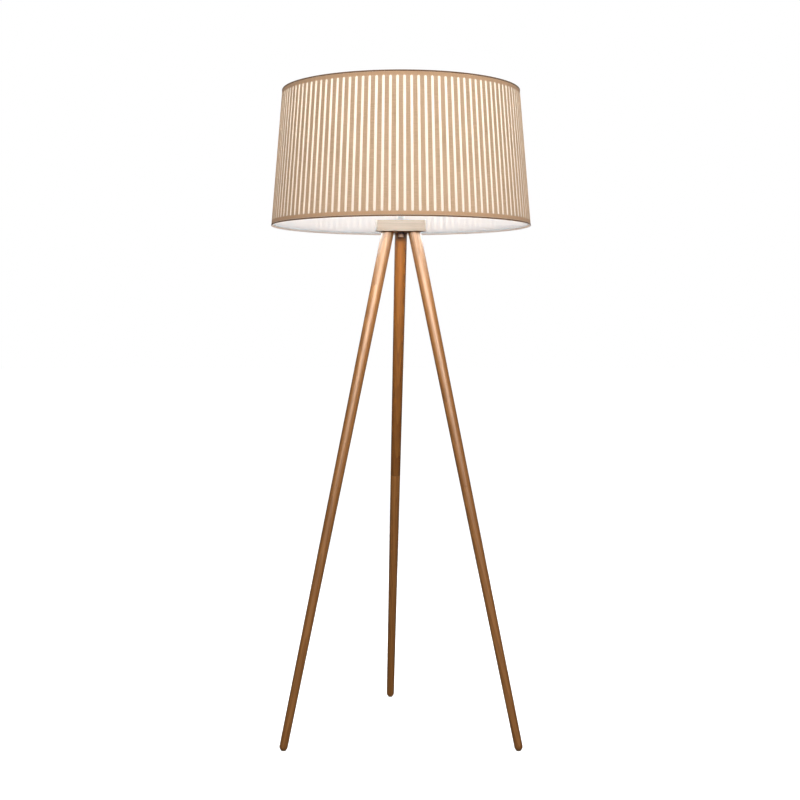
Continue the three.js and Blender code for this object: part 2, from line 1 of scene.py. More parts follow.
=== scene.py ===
# Tripod floor lamp: the visible pieces and materials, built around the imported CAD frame.
# Metres, +Z up, front is -Y. Places and sizes come from the CAD nodes and joints.

import json
import math
from collections import namedtuple

import bmesh
import bpy
from mathutils import Matrix, Vector

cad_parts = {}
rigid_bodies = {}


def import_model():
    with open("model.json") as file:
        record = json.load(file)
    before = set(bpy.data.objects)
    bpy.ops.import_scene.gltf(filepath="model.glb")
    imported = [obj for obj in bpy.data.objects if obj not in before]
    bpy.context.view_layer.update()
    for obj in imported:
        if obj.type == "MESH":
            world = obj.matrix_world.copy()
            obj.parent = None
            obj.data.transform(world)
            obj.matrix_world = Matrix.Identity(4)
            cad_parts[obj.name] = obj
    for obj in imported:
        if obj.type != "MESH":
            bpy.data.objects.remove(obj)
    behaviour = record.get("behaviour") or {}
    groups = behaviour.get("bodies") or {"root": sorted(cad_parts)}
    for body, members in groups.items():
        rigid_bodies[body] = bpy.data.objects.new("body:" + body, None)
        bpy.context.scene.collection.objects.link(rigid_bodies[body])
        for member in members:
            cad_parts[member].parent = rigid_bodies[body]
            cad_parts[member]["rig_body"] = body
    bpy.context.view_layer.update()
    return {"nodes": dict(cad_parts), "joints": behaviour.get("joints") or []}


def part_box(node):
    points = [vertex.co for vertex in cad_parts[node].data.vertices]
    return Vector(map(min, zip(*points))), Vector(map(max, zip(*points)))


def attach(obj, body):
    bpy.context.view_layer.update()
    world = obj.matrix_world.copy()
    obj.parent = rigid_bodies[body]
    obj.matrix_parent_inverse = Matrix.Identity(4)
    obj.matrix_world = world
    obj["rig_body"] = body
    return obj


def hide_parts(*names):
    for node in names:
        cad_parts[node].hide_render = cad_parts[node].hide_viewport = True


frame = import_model()

# ---- Driving dimensions ----

MM = 0.001
GAP = 0.3 * MM  # clearance between touching pieces, as in the CAD model
CLOTH_SHARE = 0.4  # the cloth's thickness, as a share of the CAD model's sleeve
LINER_OUT = 0.6 * MM  # how far the liner fills the room that the thin cloth leaves

SLOT_COUNT = 116
SLOT_WIDTH = 6 * MM
SLOT_MARGIN = 11.5 * MM  # plain band above and below the slots

SEAM_EDGE = 0.4 * MM  # eased edge of the legs at their seams
SEAM_GAP = 0.05 * MM  # the halves of a leg are screwed up tight
HUB_EDGE = 1.0 * MM
THREAD_PITCH = 1.0 * MM
THREAD_DEPTH = 0.45 * MM
CAP_THREAD_PITCH = 3.6 * MM
CAP_THREAD_DEPTH = 0.9 * MM

ROUND_SIDES = 64
SMALL_SIDES = 40
SHADE_SIDES = 2 * SLOT_COUNT
SHARP_ANGLE = math.radians(35)

SIDES = ("left", "right", "rear")
# Tints of the wood on each leg half. The slight ones are wood tone that differs from piece to piece; the rear
# upper half's deep tint is painted shade, darker than the wood itself.
UPPER_LEG_TINTS_AND_PAINTED_SHADE = {"left": (0.96, 0.94, 0.90), "right": (0.93, 0.90, 0.87), "rear": (0.54, 0.50, 0.35)}
LOWER_LEG_TINTS = {"left": (0.94, 0.92, 0.84), "right": (1.0, 1.0, 1.0), "rear": (0.96, 0.94, 0.84)}
CLOTH_SLOTS = ("shade_fabric", "shade_liner")
HERE = Matrix.Identity(4)

CAMERA_LENS = 61.84
CAMERA_PLACE = (-0.0024, -3.3091, 0.9807)
CAMERA_PITCH = 2.97  # degrees below level

WARM = (1.0, 0.84, 0.60)
CREAM = (1.0, 0.95, 0.82)
COOL = (0.80, 0.95, 1.0)
GLEAM_COUNT = 6  # reflections of the shade's lower part, in a ring


# ---- Measures of the CAD nodes ----

def outline_points(node, place=HERE):
    """(height, radius) of each corner of a CAD node about the Z axis of a place, from the bottom up."""
    inverse = place.inverted()
    points = [inverse @ vertex.co for vertex in frame["nodes"][node].data.vertices]
    return sorted((point.z, math.hypot(point.x, point.y)) for point in points)


Extent = namedtuple("Extent", "bottom top inner outer")


def extent(node, place=HERE):
    """Heights and smallest and largest radius of a CAD node about the Z axis of a place."""
    points = outline_points(node, place)
    radii = [radius for _, radius in points]
    return Extent(points[0][0], points[-1][0], min(radii), max(radii))


def widest(node, low, high, place=HERE):
    """Largest radius of a CAD node between two heights."""
    return max(radius for height, radius in outline_points(node, place) if low <= height <= high)


def leg_place(side):
    """A leg's own frame: its origin is at the seam, +Z runs up the leg and X leans outwards."""
    joint = next(joint for joint in frame["joints"] if joint["name"] == f"lower_leg_{side}_turn")
    up = -Vector(joint["axis"]).normalized()
    sideways = up.cross(Vector((-up.x, -up.y, 0))).normalized()
    outwards = sideways.cross(up)
    place = Matrix((outwards, sideways, up)).transposed().to_4x4()
    place.translation = Vector(joint["pos_m"])
    return place


def upright_place(node):
    """A frame with +Z up through the middle of a CAD node, with its origin on the floor."""
    low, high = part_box(node)
    return Matrix.Translation(((low.x + high.x) / 2, (low.y + high.y) / 2, 0))


def switch_place():
    """The switch's frame: +Z runs along the knob, away from the lampholder."""
    joint = next(joint for joint in frame["joints"] if joint["name"] == "switch_turn")
    place = Vector(joint["axis"]).to_track_quat("Z", "Y").to_matrix().to_4x4()
    place.translation = Vector((0, 0, joint["pos_m"][2]))
    return place


# ---- Mesh helpers ----

def set_shading(work):
    for face in work.faces:
        face.smooth = True
    for edge in work.edges:
        edge.smooth = edge.calc_face_angle(0) < SHARP_ANGLE


def make_piece(name, vertices, faces, place=HERE):
    """A closed mesh object with its faces pointing out."""
    mesh = bpy.data.meshes.new(name)
    mesh.from_pydata(vertices, [], faces)
    work = bmesh.new()
    work.from_mesh(mesh)
    bmesh.ops.recalc_face_normals(work, faces=work.faces)
    set_shading(work)
    work.to_mesh(mesh)
    work.free()
    piece = bpy.data.objects.new(name, mesh)
    piece.matrix_world = place
    bpy.context.scene.collection.objects.link(piece)
    return piece


def turned(name, profile, sides=SMALL_SIDES, place=HERE, shape=None):
    """A piece turned about Z from (radius, height) points that start and end on the axis, or close on
    themselves. shape(angle, radius, height) may give another radius, for ribs and flats."""
    vertices = []
    rings = []
    for radius, height in profile:
        if radius == 0:
            rings.append([len(vertices)] * sides)
            vertices.append((0, 0, height))
            continue
        rings.append(list(range(len(vertices), len(vertices) + sides)))
        for index in range(sides):
            angle = 2 * math.pi * index / sides
            reach = shape(angle, radius, height) if shape else radius
            vertices.append((reach * math.cos(angle), reach * math.sin(angle), height))
    pairs = list(zip(rings, rings[1:]))
    if profile[0][0] > 0:
        pairs.append((rings[-1], rings[0]))
    faces = []
    for low, high in pairs:
        for index in range(sides):
            after = (index + 1) % sides
            corners = list(dict.fromkeys((low[index], low[after], high[after], high[index])))
            if len(corners) > 2:
                faces.append(corners)
    return make_piece(name, vertices, faces, place)


def bezier(start, middle, end, steps):
    """Points along a curve that is pulled towards its middle point, without its last point."""
    points = []
    for step in range(steps):
        t = step / steps
        points.append(start * (1 - t) ** 2 + middle * 2 * t * (1 - t) + end * t ** 2)
    return points


def rounded(before, corner, after, radius, steps):
    """The points of a profile around one corner. A point on the axis stays as it is."""
    if corner[0] == 0:
        return [corner]
    here = Vector(corner)
    back = Vector(before) - here
    onwards = Vector(after) - here
    start = here + back.normalized() * min(radius, back.length * 0.45)
    end = here + onwards.normalized() * min(radius, onwards.length * 0.45)
    return [(point.x, point.y) for point in bezier(start, here, end, steps) + [end]]


def ease(run, radius, steps=3):
    """Rounds the inner corners of an open run of points, and leaves out its two ends."""
    points = []
    for before, corner, after in zip(run, run[1:], run[2:]):
        points += rounded(before, corner, after, radius, steps)
    return points


def soften(profile, radius, steps=3):
    """Rounds the corners of a closed profile."""
    return ease(profile[-1:] + profile + profile[:1], radius, steps)


def block(inner, outer, low, high):
    """A plain profile with four corners."""
    return [(inner, low), (outer, low), (outer, high), (inner, high)]


def arc(centre_radius, centre_height, radius, start, end, steps):
    """Points of a profile along an arc, with its angles in degrees."""
    points = []
    for step in range(steps + 1):
        angle = math.radians(start + (end - start) * step / steps)
        points.append((centre_radius + radius * math.cos(angle), centre_height + radius * math.sin(angle)))
    return points


def thread(radius, low, high, pitch=THREAD_PITCH, depth=THREAD_DEPTH):
    """The ridges of a thread, from the bottom up."""
    turns = int((high - low) / pitch)
    points = []
    for turn in range(turns):
        points.append((radius - depth, low + turn * pitch))
        points.append((radius, low + (turn + 0.5) * pitch))
    points.append((radius - depth, low + turns * pitch))
    return points


def rod(inner, outer, low, high, chamfer):
    """The profile of a threaded rod or tube with chamfered ends."""
    profile = [(inner, low), (outer - chamfer, low)] + thread(outer, low + chamfer, high - chamfer)
    return profile + [(outer - chamfer, high), (inner, high)]


def round_thread(radius, low, high, pitch=CAP_THREAD_PITCH, depth=CAP_THREAD_DEPTH, steps=10):
    """The rounded thread of a lamp cap, from the bottom up."""
    turns = int((high - low) / pitch)
    points = []
    for step in range(turns * steps + 1):
        wave = (1 + math.cos(2 * math.pi * step / steps)) / 2
        points.append((radius - depth * wave, low + step * pitch / steps))
    return points


def ribs(count, depth, low, high):
    """A shape for turned pieces: rounded grooves around the part between two heights."""
    def shape(angle, radius, height):
        if not low <= height <= high:
            return radius
        return radius - depth * (0.5 + 0.5 * math.cos(count * angle)) ** 2
    return shape


def hexagon(apothem, low, high):
    """A shape for turned pieces: six flats on the part between two heights."""
    def shape(angle, radius, height):
        if not low <= height <= high:
            return radius
        off_flat = angle % (math.pi / 3) - math.pi / 6
        return min(radius, apothem / math.cos(off_flat))
    return shape


def carve(piece, cutters):
    """Cuts other pieces out of a piece, and removes them."""
    for cutter in cutters:
        boolean = piece.modifiers.new("cut", "BOOLEAN")
        boolean.operation = "DIFFERENCE"
        boolean.solver = "EXACT"
        boolean.object = cutter
    bpy.context.view_layer.update()
    evaluated = piece.evaluated_get(bpy.context.evaluated_depsgraph_get())
    mesh = bpy.data.meshes.new_from_object(evaluated)
    piece.modifiers.clear()
    piece.data = mesh
    for cutter in cutters:
        bpy.data.objects.remove(cutter)
    work = bmesh.new()
    work.from_mesh(mesh)
    bmesh.ops.remove_doubles(work, verts=work.verts, dist=0.001 * MM)
    set_shading(work)
    work.to_mesh(mesh)
    work.free()
    return piece


def cut_level(piece, height):
    """Cuts off what is below a height of the row frame, and closes the cut."""
    inverse = piece.matrix_world.inverted()
    normal = (inverse.to_3x3() @ Vector((0, 0, 1))).normalized()
    on_plane = piece.matrix_world.translation.copy()
    on_plane.z = height
    work = bmesh.new()
    work.from_mesh(piece.data)
    geometry = work.verts[:] + work.edges[:] + work.faces[:]
    bmesh.ops.bisect_plane(
        work, geom=geometry, plane_co=inverse @ on_plane, plane_no=normal, clear_inner=True)
    rim = [edge for edge in work.edges if edge.is_boundary]
    bmesh.ops.contextual_create(work, geom=rim)
    bmesh.ops.recalc_face_normals(work, faces=work.faces)
    set_shading(work)
    work.to_mesh(piece.data)
    work.free()


def sweep(name, path, radius, sides=16):
    """A round bar along a path of points in one upright plane through the Z axis, with rounded ends."""
    across = path[0].cross(Vector((0, 0, 1))).normalized()
    tangents = [(after - before).normalized() for before, after in zip(path, path[1:])]
    tangents = [tangents[0]] + [(a + b).normalized() for a, b in zip(tangents, tangents[1:])] + [tangents[-1]]
    stations = [(path[0] - tangents[0] * radius * 0.5, tangents[0], 0.0)]
    stations.append((path[0] - tangents[0] * radius * 0.35, tangents[0], 0.7))
    stations += [(point, tangent, 1.0) for point, tangent in zip(path, tangents)]
    stations.append((path[-1] + tangents[-1] * radius * 0.35, tangents[-1], 0.7))
    stations.append((path[-1] + tangents[-1] * radius * 0.5, tangents[-1], 0.0))
    vertices = []
    rings = []
    for point, tangent, share in stations:
        if share == 0:
            rings.append([len(vertices)] * sides)
            vertices.append(point)
            continue
        rings.append(list(range(len(vertices), len(vertices) + sides)))
        upright = across.cross(tangent)
        for index in range(sides):
            angle = 2 * math.pi * index / sides
            offset = across * math.cos(angle) + upright * math.sin(angle)
            vertices.append(point + offset * radius * share)
    faces = []
    for low, high in zip(rings, rings[1:]):
        for index in range(sides):
            after = (index + 1) % sides
            corners = list(dict.fromkeys((low[index], low[after], high[after], high[index])))
            faces.append(corners)
    return make_piece(name, vertices, faces)


def wrap_uv(piece, radius):
    """UVs in metres around the lamp's axis and up it, for a weave."""
    mesh = piece.data
    layer = mesh.uv_layers.new(name="wrap")
    for polygon in mesh.polygons:
        corners = [mesh.vertices[index].co for index in polygon.vertices]
        angles = [math.atan2(corner.y, corner.x) for corner in corners]
        if max(angles) - min(angles) > math.pi:
            angles = [angle % (2 * math.pi) for angle in angles]
        for loop, angle, corner in zip(polygon.loop_indices, angles, corners):
            climb = corner.z + math.hypot(corner.x, corner.y)
            layer.data[loop].uv = (angle * radius, climb)


# ---- Material helpers ----

class Finish:
    """A material with short calls that add nodes. A value may be a number, a colour or a socket."""

    def __init__(self, name):
        self.material = bpy.data.materials.new(name)
        self.material.use_nodes = True
        self.tree = self.material.node_tree
        self.surface = self.tree.nodes["Principled BSDF"]
        self.output = self.tree.nodes["Material Output"]

    def feed(self, socket, value):
        if isinstance(value, bpy.types.NodeSocket):
            self.tree.links.new(value, socket)
        else:
            socket.default_value = value

    def add(self, kind, inputs=(), **settings):
        node = self.tree.nodes.new("ShaderNode" + kind)
        for key, value in settings.items():
            setattr(node, key, value)
        for key, value in dict(inputs).items():
            self.feed(node.inputs[key], value)
        return node

    def set(self, **values):
        for key, value in values.items():
            self.feed(self.surface.inputs[key.replace("_", " ")], value)

    def where(self):
        return self.add("TexCoord").outputs["Object"]

    def wrap(self):
        return self.add("UVMap", uv_map="wrap").outputs["UV"]

    def scaled(self, vector, scale):
        return self.add("VectorMath", {0: vector, 1: scale}, operation="MULTIPLY").outputs[0]

    def noise(self, vector, scale=1.0, detail=3.0, roughness=0.55):
        inputs = {"Vector": vector, "Scale": scale, "Detail": detail, "Roughness": roughness}
        return self.add("TexNoise", inputs).outputs["Fac"]

    def calc(self, operation, first, second=0.0):
        return self.add("Math", {0: first, 1: second}, operation=operation).outputs[0]

    def span(self, value, low, high, start=0.0, end=1.0):
        """Maps a value from low..high to start..end, and clamps it."""
        inputs = {"Value": value, "From Min": low, "From Max": high, "To Min": start, "To Max": end}
        return self.add("MapRange", inputs).outputs["Result"]

    def blend(self, factor, first, second):
        node = self.add("Mix", data_type="RGBA")
        self.feed(node.inputs[0], factor)
        self.feed(node.inputs[6], first)
        self.feed(node.inputs[7], second)
        return node.outputs[2]

    def tinted(self, colour):
        """A colour times the colour of the object that wears the material."""
        tint = self.add("ObjectInfo").outputs["Color"]
        return self.add("VectorMath", {0: colour, 1: tint}, operation="MULTIPLY").outputs[0]

    def bump(self, height, distance, strength=1.0, normal=None):
        node = self.add("Bump", {"Height": height, "Distance": distance, "Strength": strength})
        if normal:
            self.feed(node.inputs["Normal"], normal)
        return node.outputs["Normal"]

    def let_light_through(self, colour, share, normal=None):
        """Mixes the surface with light that passes through a thin sheet."""
        through = self.add("BsdfTranslucent", {"Color": colour})
        if normal:
            self.feed(through.inputs["Normal"], normal)
        mixed = self.add("MixShader", {0: share, 1: self.surface.outputs[0], 2: through.outputs[0]})
        self.feed(self.output.inputs["Surface"], mixed.outputs[0])


def rgb(red, green, blue):
    return (red, green, blue, 1.0)


# ---- Materials ----

def woven(name, pale, dark, pitch, through, through_share, bands=None):
    """Plain weave with slubs: threads go over and under each other, and vary in thickness and tone. bands
    gives the heights of the plain bands above and below the slots, and a darker colour there. That colour is
    painted shade, for the lamp's glow that the hem and ring behind the bands hold back."""
    finish = Finish(name)
    cloth = finish.wrap()
    threads = finish.scaled(cloth, (1 / pitch, 1 / pitch, 1 / pitch))
    split = finish.add("SeparateXYZ", {0: threads})
    warp = finish.calc("ABSOLUTE", finish.calc("SINE", finish.calc("MULTIPLY", split.outputs[0], math.pi)))
    weft = finish.calc("ABSOLUTE", finish.calc("SINE", finish.calc("MULTIPLY", split.outputs[1], math.pi)))
    over = finish.add("TexChecker", {"Vector": threads, "Scale": 1.0}).outputs["Fac"]
    height = finish.add("Mix", {0: over, 2: warp, 3: weft}).outputs[0]
    weft_slub = finish.noise(finish.scaled(threads, (0.035, 0.8, 1.0)), detail=4.0)
    warp_slub = finish.noise(finish.scaled(threads, (0.8, 0.02, 1.0)), detail=4.0)
    slub = finish.calc("MULTIPLY", finish.calc("ADD", weft_slub, warp_slub), 0.5)
    broad = finish.noise(cloth, scale=14.0, detail=2.0)
    tone = finish.calc("ADD", finish.span(slub, 0.36, 0.64), finish.span(broad, 0.3, 0.7, -0.15, 0.15))
    tone = finish.calc("ADD", tone, finish.span(height, 0.0, 1.0, -0.22, 0.12))
    colour = finish.blend(tone, dark, pale)
    # Painted shade: the bands are darkened where the glow from inside doesn't come through.
    if bands:
        low, high, band_painted_shade = bands
        level = finish.add("SeparateXYZ", {0: finish.where()}).outputs[2]
        below = finish.span(level, low, low - MM)
        above = finish.span(level, high, high + MM)
        band_shade_mask = finish.calc("MAXIMUM", below, above)
        colour = finish.blend(finish.calc("MULTIPLY", band_shade_mask, 0.55), colour, band_painted_shade)
    normal = finish.bump(height, 0.12 * MM, 0.6)
    normal = finish.bump(slub, 0.25 * MM, 0.5, normal)
    finish.set(Base_Color=colour, Roughness=finish.span(height, 0.0, 1.0, 0.95, 0.8), Normal=normal)
    finish.set(Specular_IOR_Level=0.25, Sheen_Weight=0.12, Sheen_Roughness=0.5)
    if through_share:
        finish.let_light_through(through, through_share, normal)
    return finish.material


def lining(name):
    """Thin white sheet with faint fibres, which glows where light is behind it."""
    finish = Finish(name)
    sheet = finish.wrap()
    fibres = finish.noise(finish.scaled(sheet, (900.0, 260.0, 1.0)), detail=5.0, roughness=0.65)
    clouds = finish.noise(sheet, scale=22.0, detail=3.0)
    tone = finish.calc("ADD", finish.span(fibres, 0.3, 0.7, 0.0, 0.7), finish.span(clouds, 0.3, 0.7, 0.0, 0.3))
    colour = finish.blend(tone, rgb(0.83, 0.845, 0.87), rgb(0.90, 0.915, 0.94))
    normal = finish.bump(fibres, 0.05 * MM, 0.4)
    finish.set(Base_Color=colour, Roughness=finish.span(fibres, 0.3, 0.7, 0.75, 0.6), Normal=normal)
    finish.set(Specular_IOR_Level=0.3)
    finish.let_light_through(rgb(1.0, 0.84, 0.68), 0.52)
    return finish.material


def wood(name, pale, dark, grain, roughness):
    """Lacquered wood. grain is the scale of the figure along X, Y and Z: small along the fibres."""
    finish = Finish(name)
    offset = finish.calc("MULTIPLY", finish.add("ObjectInfo").outputs["Random"], 3.0)
    place = finish.add("VectorMath", {0: finish.where(), 1: offset}, operation="ADD").outputs[0]
    stretched = finish.scaled(place, grain)
    wander = finish.noise(stretched, scale=9.0, detail=2.0)
    bent = finish.add("VectorMath", {0: stretched, 1: wander, 2: (0.0, 0.0, 0.0)}, operation="ADD")
    rings = finish.add(
        "TexWave",
        {"Vector": bent.outputs[0], "Scale": 9.0, "Distortion": 5.0, "Detail": 3.0, "Detail Scale": 1.4},
        wave_type="BANDS", bands_direction="DIAGONAL", wave_profile="SAW",
    ).outputs["Fac"]
    fibres = finish.noise(stretched, scale=260.0, detail=4.0, roughness=0.7)
    pores = finish.span(finish.noise(stretched, scale=520.0, detail=2.0), 0.62, 0.74)
    broad = finish.noise(stretched, scale=3.5, detail=2.0)
    tone = finish.calc("MULTIPLY", finish.span(rings, 0.2, 1.0), 0.42)
    tone = finish.calc("ADD", tone, finish.span(fibres, 0.3, 0.7, 0.0, 0.38))
    tone = finish.calc("ADD", tone, finish.span(broad, 0.3, 0.7, -0.12, 0.22))
    tone = finish.calc("ADD", tone, finish.calc("MULTIPLY", pores, 0.3))
    colour = finish.blend(tone, pale, dark)
    colour = finish.tinted(colour)
    height = finish.calc("SUBTRACT", finish.calc("MULTIPLY", fibres, 0.4), pores)
    normal = finish.bump(height, 0.06 * MM, 0.5)
    rough = finish.calc("ADD", finish.span(fibres, 0.3, 0.7, -0.05, 0.07), roughness)
    finish.set(Base_Color=colour, Roughness=rough, Normal=normal)
    finish.set(Specular_IOR_Level=0.4, Coat_Weight=0.15, Coat_Roughness=0.35)
    return finish.material


def metal(name, colour, worn, roughness):
    """Plated metal with soft blotches and fine turning marks."""
    finish = Finish(name)
    place = finish.where()
    blotches = finish.noise(place, scale=90.0, detail=4.0)
    marks = finish.noise(finish.scaled(place, (60.0, 60.0, 2600.0)), detail=3.0)
    blotched = finish.blend(finish.span(blotches, 0.35, 0.75), colour, worn)
    finish.set(Base_Color=finish.tinted(blotched), Metallic=1.0)
    rough = finish.calc("ADD", finish.span(blotches, 0.3, 0.7, -0.06, 0.1), roughness)
    finish.set(Roughness=rough, Normal=finish.bump(marks, 0.02 * MM, 0.5))
    return finish.material


def coated(name, colour, shade, roughness, grain, depth):
    """Painted or moulded surface with a fine texture and faint clouding."""
    finish = Finish(name)
    place = finish.where()
    clouds = finish.noise(place, scale=35.0, detail=3.0)
    texture = finish.noise(place, scale=grain, detail=3.0, roughness=0.6)
    finish.set(Base_Color=finish.tinted(finish.blend(finish.span(clouds, 0.3, 0.7), colour, shade)))
    rough = finish.calc("ADD", finish.span(texture, 0.3, 0.7, -0.05, 0.08), roughness)
    finish.set(Roughness=rough, Normal=finish.bump(texture, depth, 0.5))
    return finish


def opal_glass(name):
    """Opal bulb that is lit from inside."""
    finish = coated(name, rgb(0.92, 0.90, 0.86), rgb(0.84, 0.81, 0.75), 0.22, 60.0, 0.02 * MM)
    finish.set(Emission_Color=rgb(1.0, 0.86, 0.66), Emission_Strength=0.8)
    return finish.material


def glazed(name):
    finish = coated(name, rgb(0.90, 0.89, 0.86), rgb(0.82, 0.80, 0.76), 0.3, 240.0, 0.03 * MM)
    finish.set(Coat_Weight=0.6, Coat_Roughness=0.08)
    return finish.material


def make_finishes():
    """One material for each of the record's slots."""
    fabric_pale = rgb(0.82, 0.59, 0.40)
    fabric_dark = rgb(0.62, 0.425, 0.265)
    # The rolled edge is the sleeve's own cloth. Its much darker colour is painted shade for the shadow at the
    # edge rolled over the wire.
    painted_shade_hem_pale = rgb(0.30, 0.17, 0.085)
    painted_shade_hem_dark = rgb(0.15, 0.08, 0.038)
    bands = (
        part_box("shade_sleeve")[0].z + SLOT_MARGIN - 3 * MM,
        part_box("shade_sleeve")[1].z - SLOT_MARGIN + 3 * MM,
        # the bands' painted shade colour
        rgb(0.70, 0.41, 0.22),
    )
    leg_grain = (1.0, 1.0, 0.05)
    hub_grain = (0.06, 1.0, 1.0)
    return {
        "shade_fabric": woven(
            "shade_fabric", fabric_pale, fabric_dark, 0.9 * MM, rgb(0.9, 0.62, 0.4), 0.12, bands),
        "shade_hem": woven("shade_hem", painted_shade_hem_pale, painted_shade_hem_dark, 0.7 * MM, painted_shade_hem_pale, 0),
        "shade_liner": lining("shade_liner"),
        "leg_wood": wood("leg_wood", rgb(0.66, 0.285, 0.085), rgb(0.33, 0.12, 0.028), leg_grain, 0.4),
        # The hub's wood is paler than the legs' wood. Part of that is painted light of the shade's glow on it.
        "hub_wood": wood("hub_wood", rgb(0.75, 0.49, 0.30), rgb(0.57, 0.35, 0.20), hub_grain, 0.4),
        "white_metal": coated(
            "white_metal", rgb(0.90, 0.90, 0.89), rgb(0.85, 0.85, 0.84), 0.4, 900.0, 0.03 * MM).material,
        "white_plastic": coated(
            "white_plastic", rgb(0.84, 0.83, 0.80), rgb(0.78, 0.765, 0.73), 0.42, 1400.0,
            0.015 * MM).material,
        "glide": coated(
            "glide", rgb(0.62, 0.52, 0.40), rgb(0.50, 0.41, 0.31), 0.65, 1800.0, 0.06 * MM).material,
        "steel": metal("steel", rgb(0.62, 0.63, 0.64), rgb(0.42, 0.42, 0.41), 0.34),
        "brass": metal("brass", rgb(0.72, 0.52, 0.22), rgb(0.48, 0.32, 0.12), 0.3),
        "bulb_cap": metal("bulb_cap", rgb(0.70, 0.71, 0.72), rgb(0.52, 0.52, 0.52), 0.3),
        "ceramic": glazed("ceramic"),
        "bulb_glass": opal_glass("bulb_glass"),
    }


FINISHES = make_finishes()


def install(piece, slot, *nodes):
    """The piece takes a slot's finish, and stands for CAD nodes of one body. Its flats shade flat and its
    curves smooth, and cloth is smooth all over."""
    if not piece.data.materials:
        piece.data.materials.append(FINISHES[slot])
    if slot not in CLOTH_SLOTS:
        normals = piece.modifiers.new("normals", "WEIGHTED_NORMAL")
        normals.keep_sharp = True
    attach(piece, frame["nodes"][nodes[0]]["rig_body"])
    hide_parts(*nodes)
    return piece


def fine(node):
    """The name of the piece that stands for a CAD node."""
    return node + "_fine"


def turn_piece(node, slot, profile, sides=SMALL_SIDES, place=HERE, shape=None):
    """Turns the piece that stands for a CAD node."""
    return install(turned(fine(node), profile, sides, place, shape), slot, node)


# ---- Camera, light and floor ----

def add_camera():
    data = bpy.data.cameras.new("camera")
    data.lens = CAMERA_LENS
    camera = bpy.data.objects.new("camera", data)
    camera.location = CAMERA_PLACE
    camera.rotation_euler = (math.radians(90 - CAMERA_PITCH), 0, 0)
    bpy.context.scene.collection.objects.link(camera)
    bpy.context.scene.camera = camera


def add_world(ambient, gloss):
    """White behind the lamp, a dim soft light from all round, and its reflection in glossy surfaces."""
    world = bpy.data.worlds.new("studio")
    world.use_nodes = True
    bpy.context.scene.world = world
    tree = world.node_tree
    light = tree.nodes["Background"]
    light.inputs["Color"].default_value = rgb(0.96, 0.98, 1.0)
    seen = tree.nodes.new("ShaderNodeLightPath")
    strength = tree.nodes.new("ShaderNodeMapRange")
    strength.inputs["To Min"].default_value = ambient
    strength.inputs["To Max"].default_value = gloss
    tree.links.new(seen.outputs["Is Glossy Ray"], strength.inputs["Value"])
    tree.links.new(strength.outputs["Result"], light.inputs["Strength"])
    backdrop = tree.nodes.new("ShaderNodeBackground")
    backdrop.inputs["Color"].default_value = rgb(1.0, 1.0, 1.0)
    mixed = tree.nodes.new("ShaderNodeMixShader")
    tree.links.new(seen.outputs["Is Camera Ray"], mixed.inputs[0])
    tree.links.new(light.outputs[0], mixed.inputs[1])
    tree.links.new(backdrop.outputs[0], mixed.inputs[2])
    tree.links.new(mixed.outputs[0], tree.nodes["World Output"].inputs["Surface"])


def add_softbox(name, place, target, width, height, power, colour=(1.0, 1.0, 1.0)):
    data = bpy.data.lights.new(name, "AREA")
    data.shape = "RECTANGLE"
    data.size = width
    data.size_y = height
    data.energy = power
    data.color = colour
    light = bpy.data.objects.new(name, data)
    light.location = place
    light.rotation_euler = (Vector(target) - Vector(place)).to_track_quat("-Z", "Y").to_euler()
    light.visible_camera = False
    bpy.context.scene.collection.objects.link(light)
    return light


def shine_on(light, pieces):
    """Limits a light to some pieces."""
    lit = bpy.data.collections.new(light.name + "_lit")
    for piece in pieces:
        lit.objects.link(piece)
    light.light_linking.receiver_collection = lit


def add_floor():
    """A wide pale floor with a faint texture, which only its top side shows."""
    half = 30.0
    finish = coated("floor", rgb(0.93, 0.93, 0.93), rgb(0.91, 0.91, 0.91), 0.8, 60.0, 0.1 * MM)
    clear = finish.add("BsdfTransparent")
    below = finish.add("NewGeometry").outputs["Backfacing"]
    mixed = finish.add("MixShader", {0: below, 1: finish.surface.outputs[0], 2: clear.outputs[0]})
    finish.feed(finish.output.inputs["Surface"], mixed.outputs[0])
    mesh = bpy.data.meshes.new("floor")
    corners = [(-half, -half, 0), (half, -half, 0), (half, half, 0), (-half, half, 0)]
    mesh.from_pydata(corners, [], [(0, 1, 2, 3)])
    mesh.materials.append(finish.material)
    floor = bpy.data.objects.new("floor", mesh)
    floor.visible_diffuse = False
    floor.visible_glossy = False
    bpy.context.scene.collection.objects.link(floor)
    return floor


def add_floor_light(floor):
    """An even light on the floor alone, so that it stays pale out to the horizon."""
    data = bpy.data.lights.new("floor_light", "SUN")
    data.energy = 3.6
    data.angle = math.radians(60)
    data.use_shadow = False
    light = bpy.data.objects.new("floor_light", data)
    bpy.context.scene.collection.objects.link(light)
    shine_on(light, [floor])


def add_studio():
    add_world(0.09, 0.06)
    shade = (0, 0, 1.3)
    add_softbox("front_light", (0.2, -2.1, 1.8), (0, 0, 1.2), 1.8, 0.9, 35.5)
    add_softbox("left_light", (-2.3, 0.2, 1.7), shade, 1.2, 0.9, 12)
    add_softbox("right_light", (2.3, 0.2, 1.7), shade, 1.2, 0.9, 12)
    rear = add_softbox("rear_light", (0.2, 2.3, 1.9), shade, 1.8, 0.9, 30)
    rear.visible_glossy = False
    add_softbox("floor_bounce", (0, 0, 0.2), shade, 1.2, 1.2, 11)
    add_floor_light(add_floor())


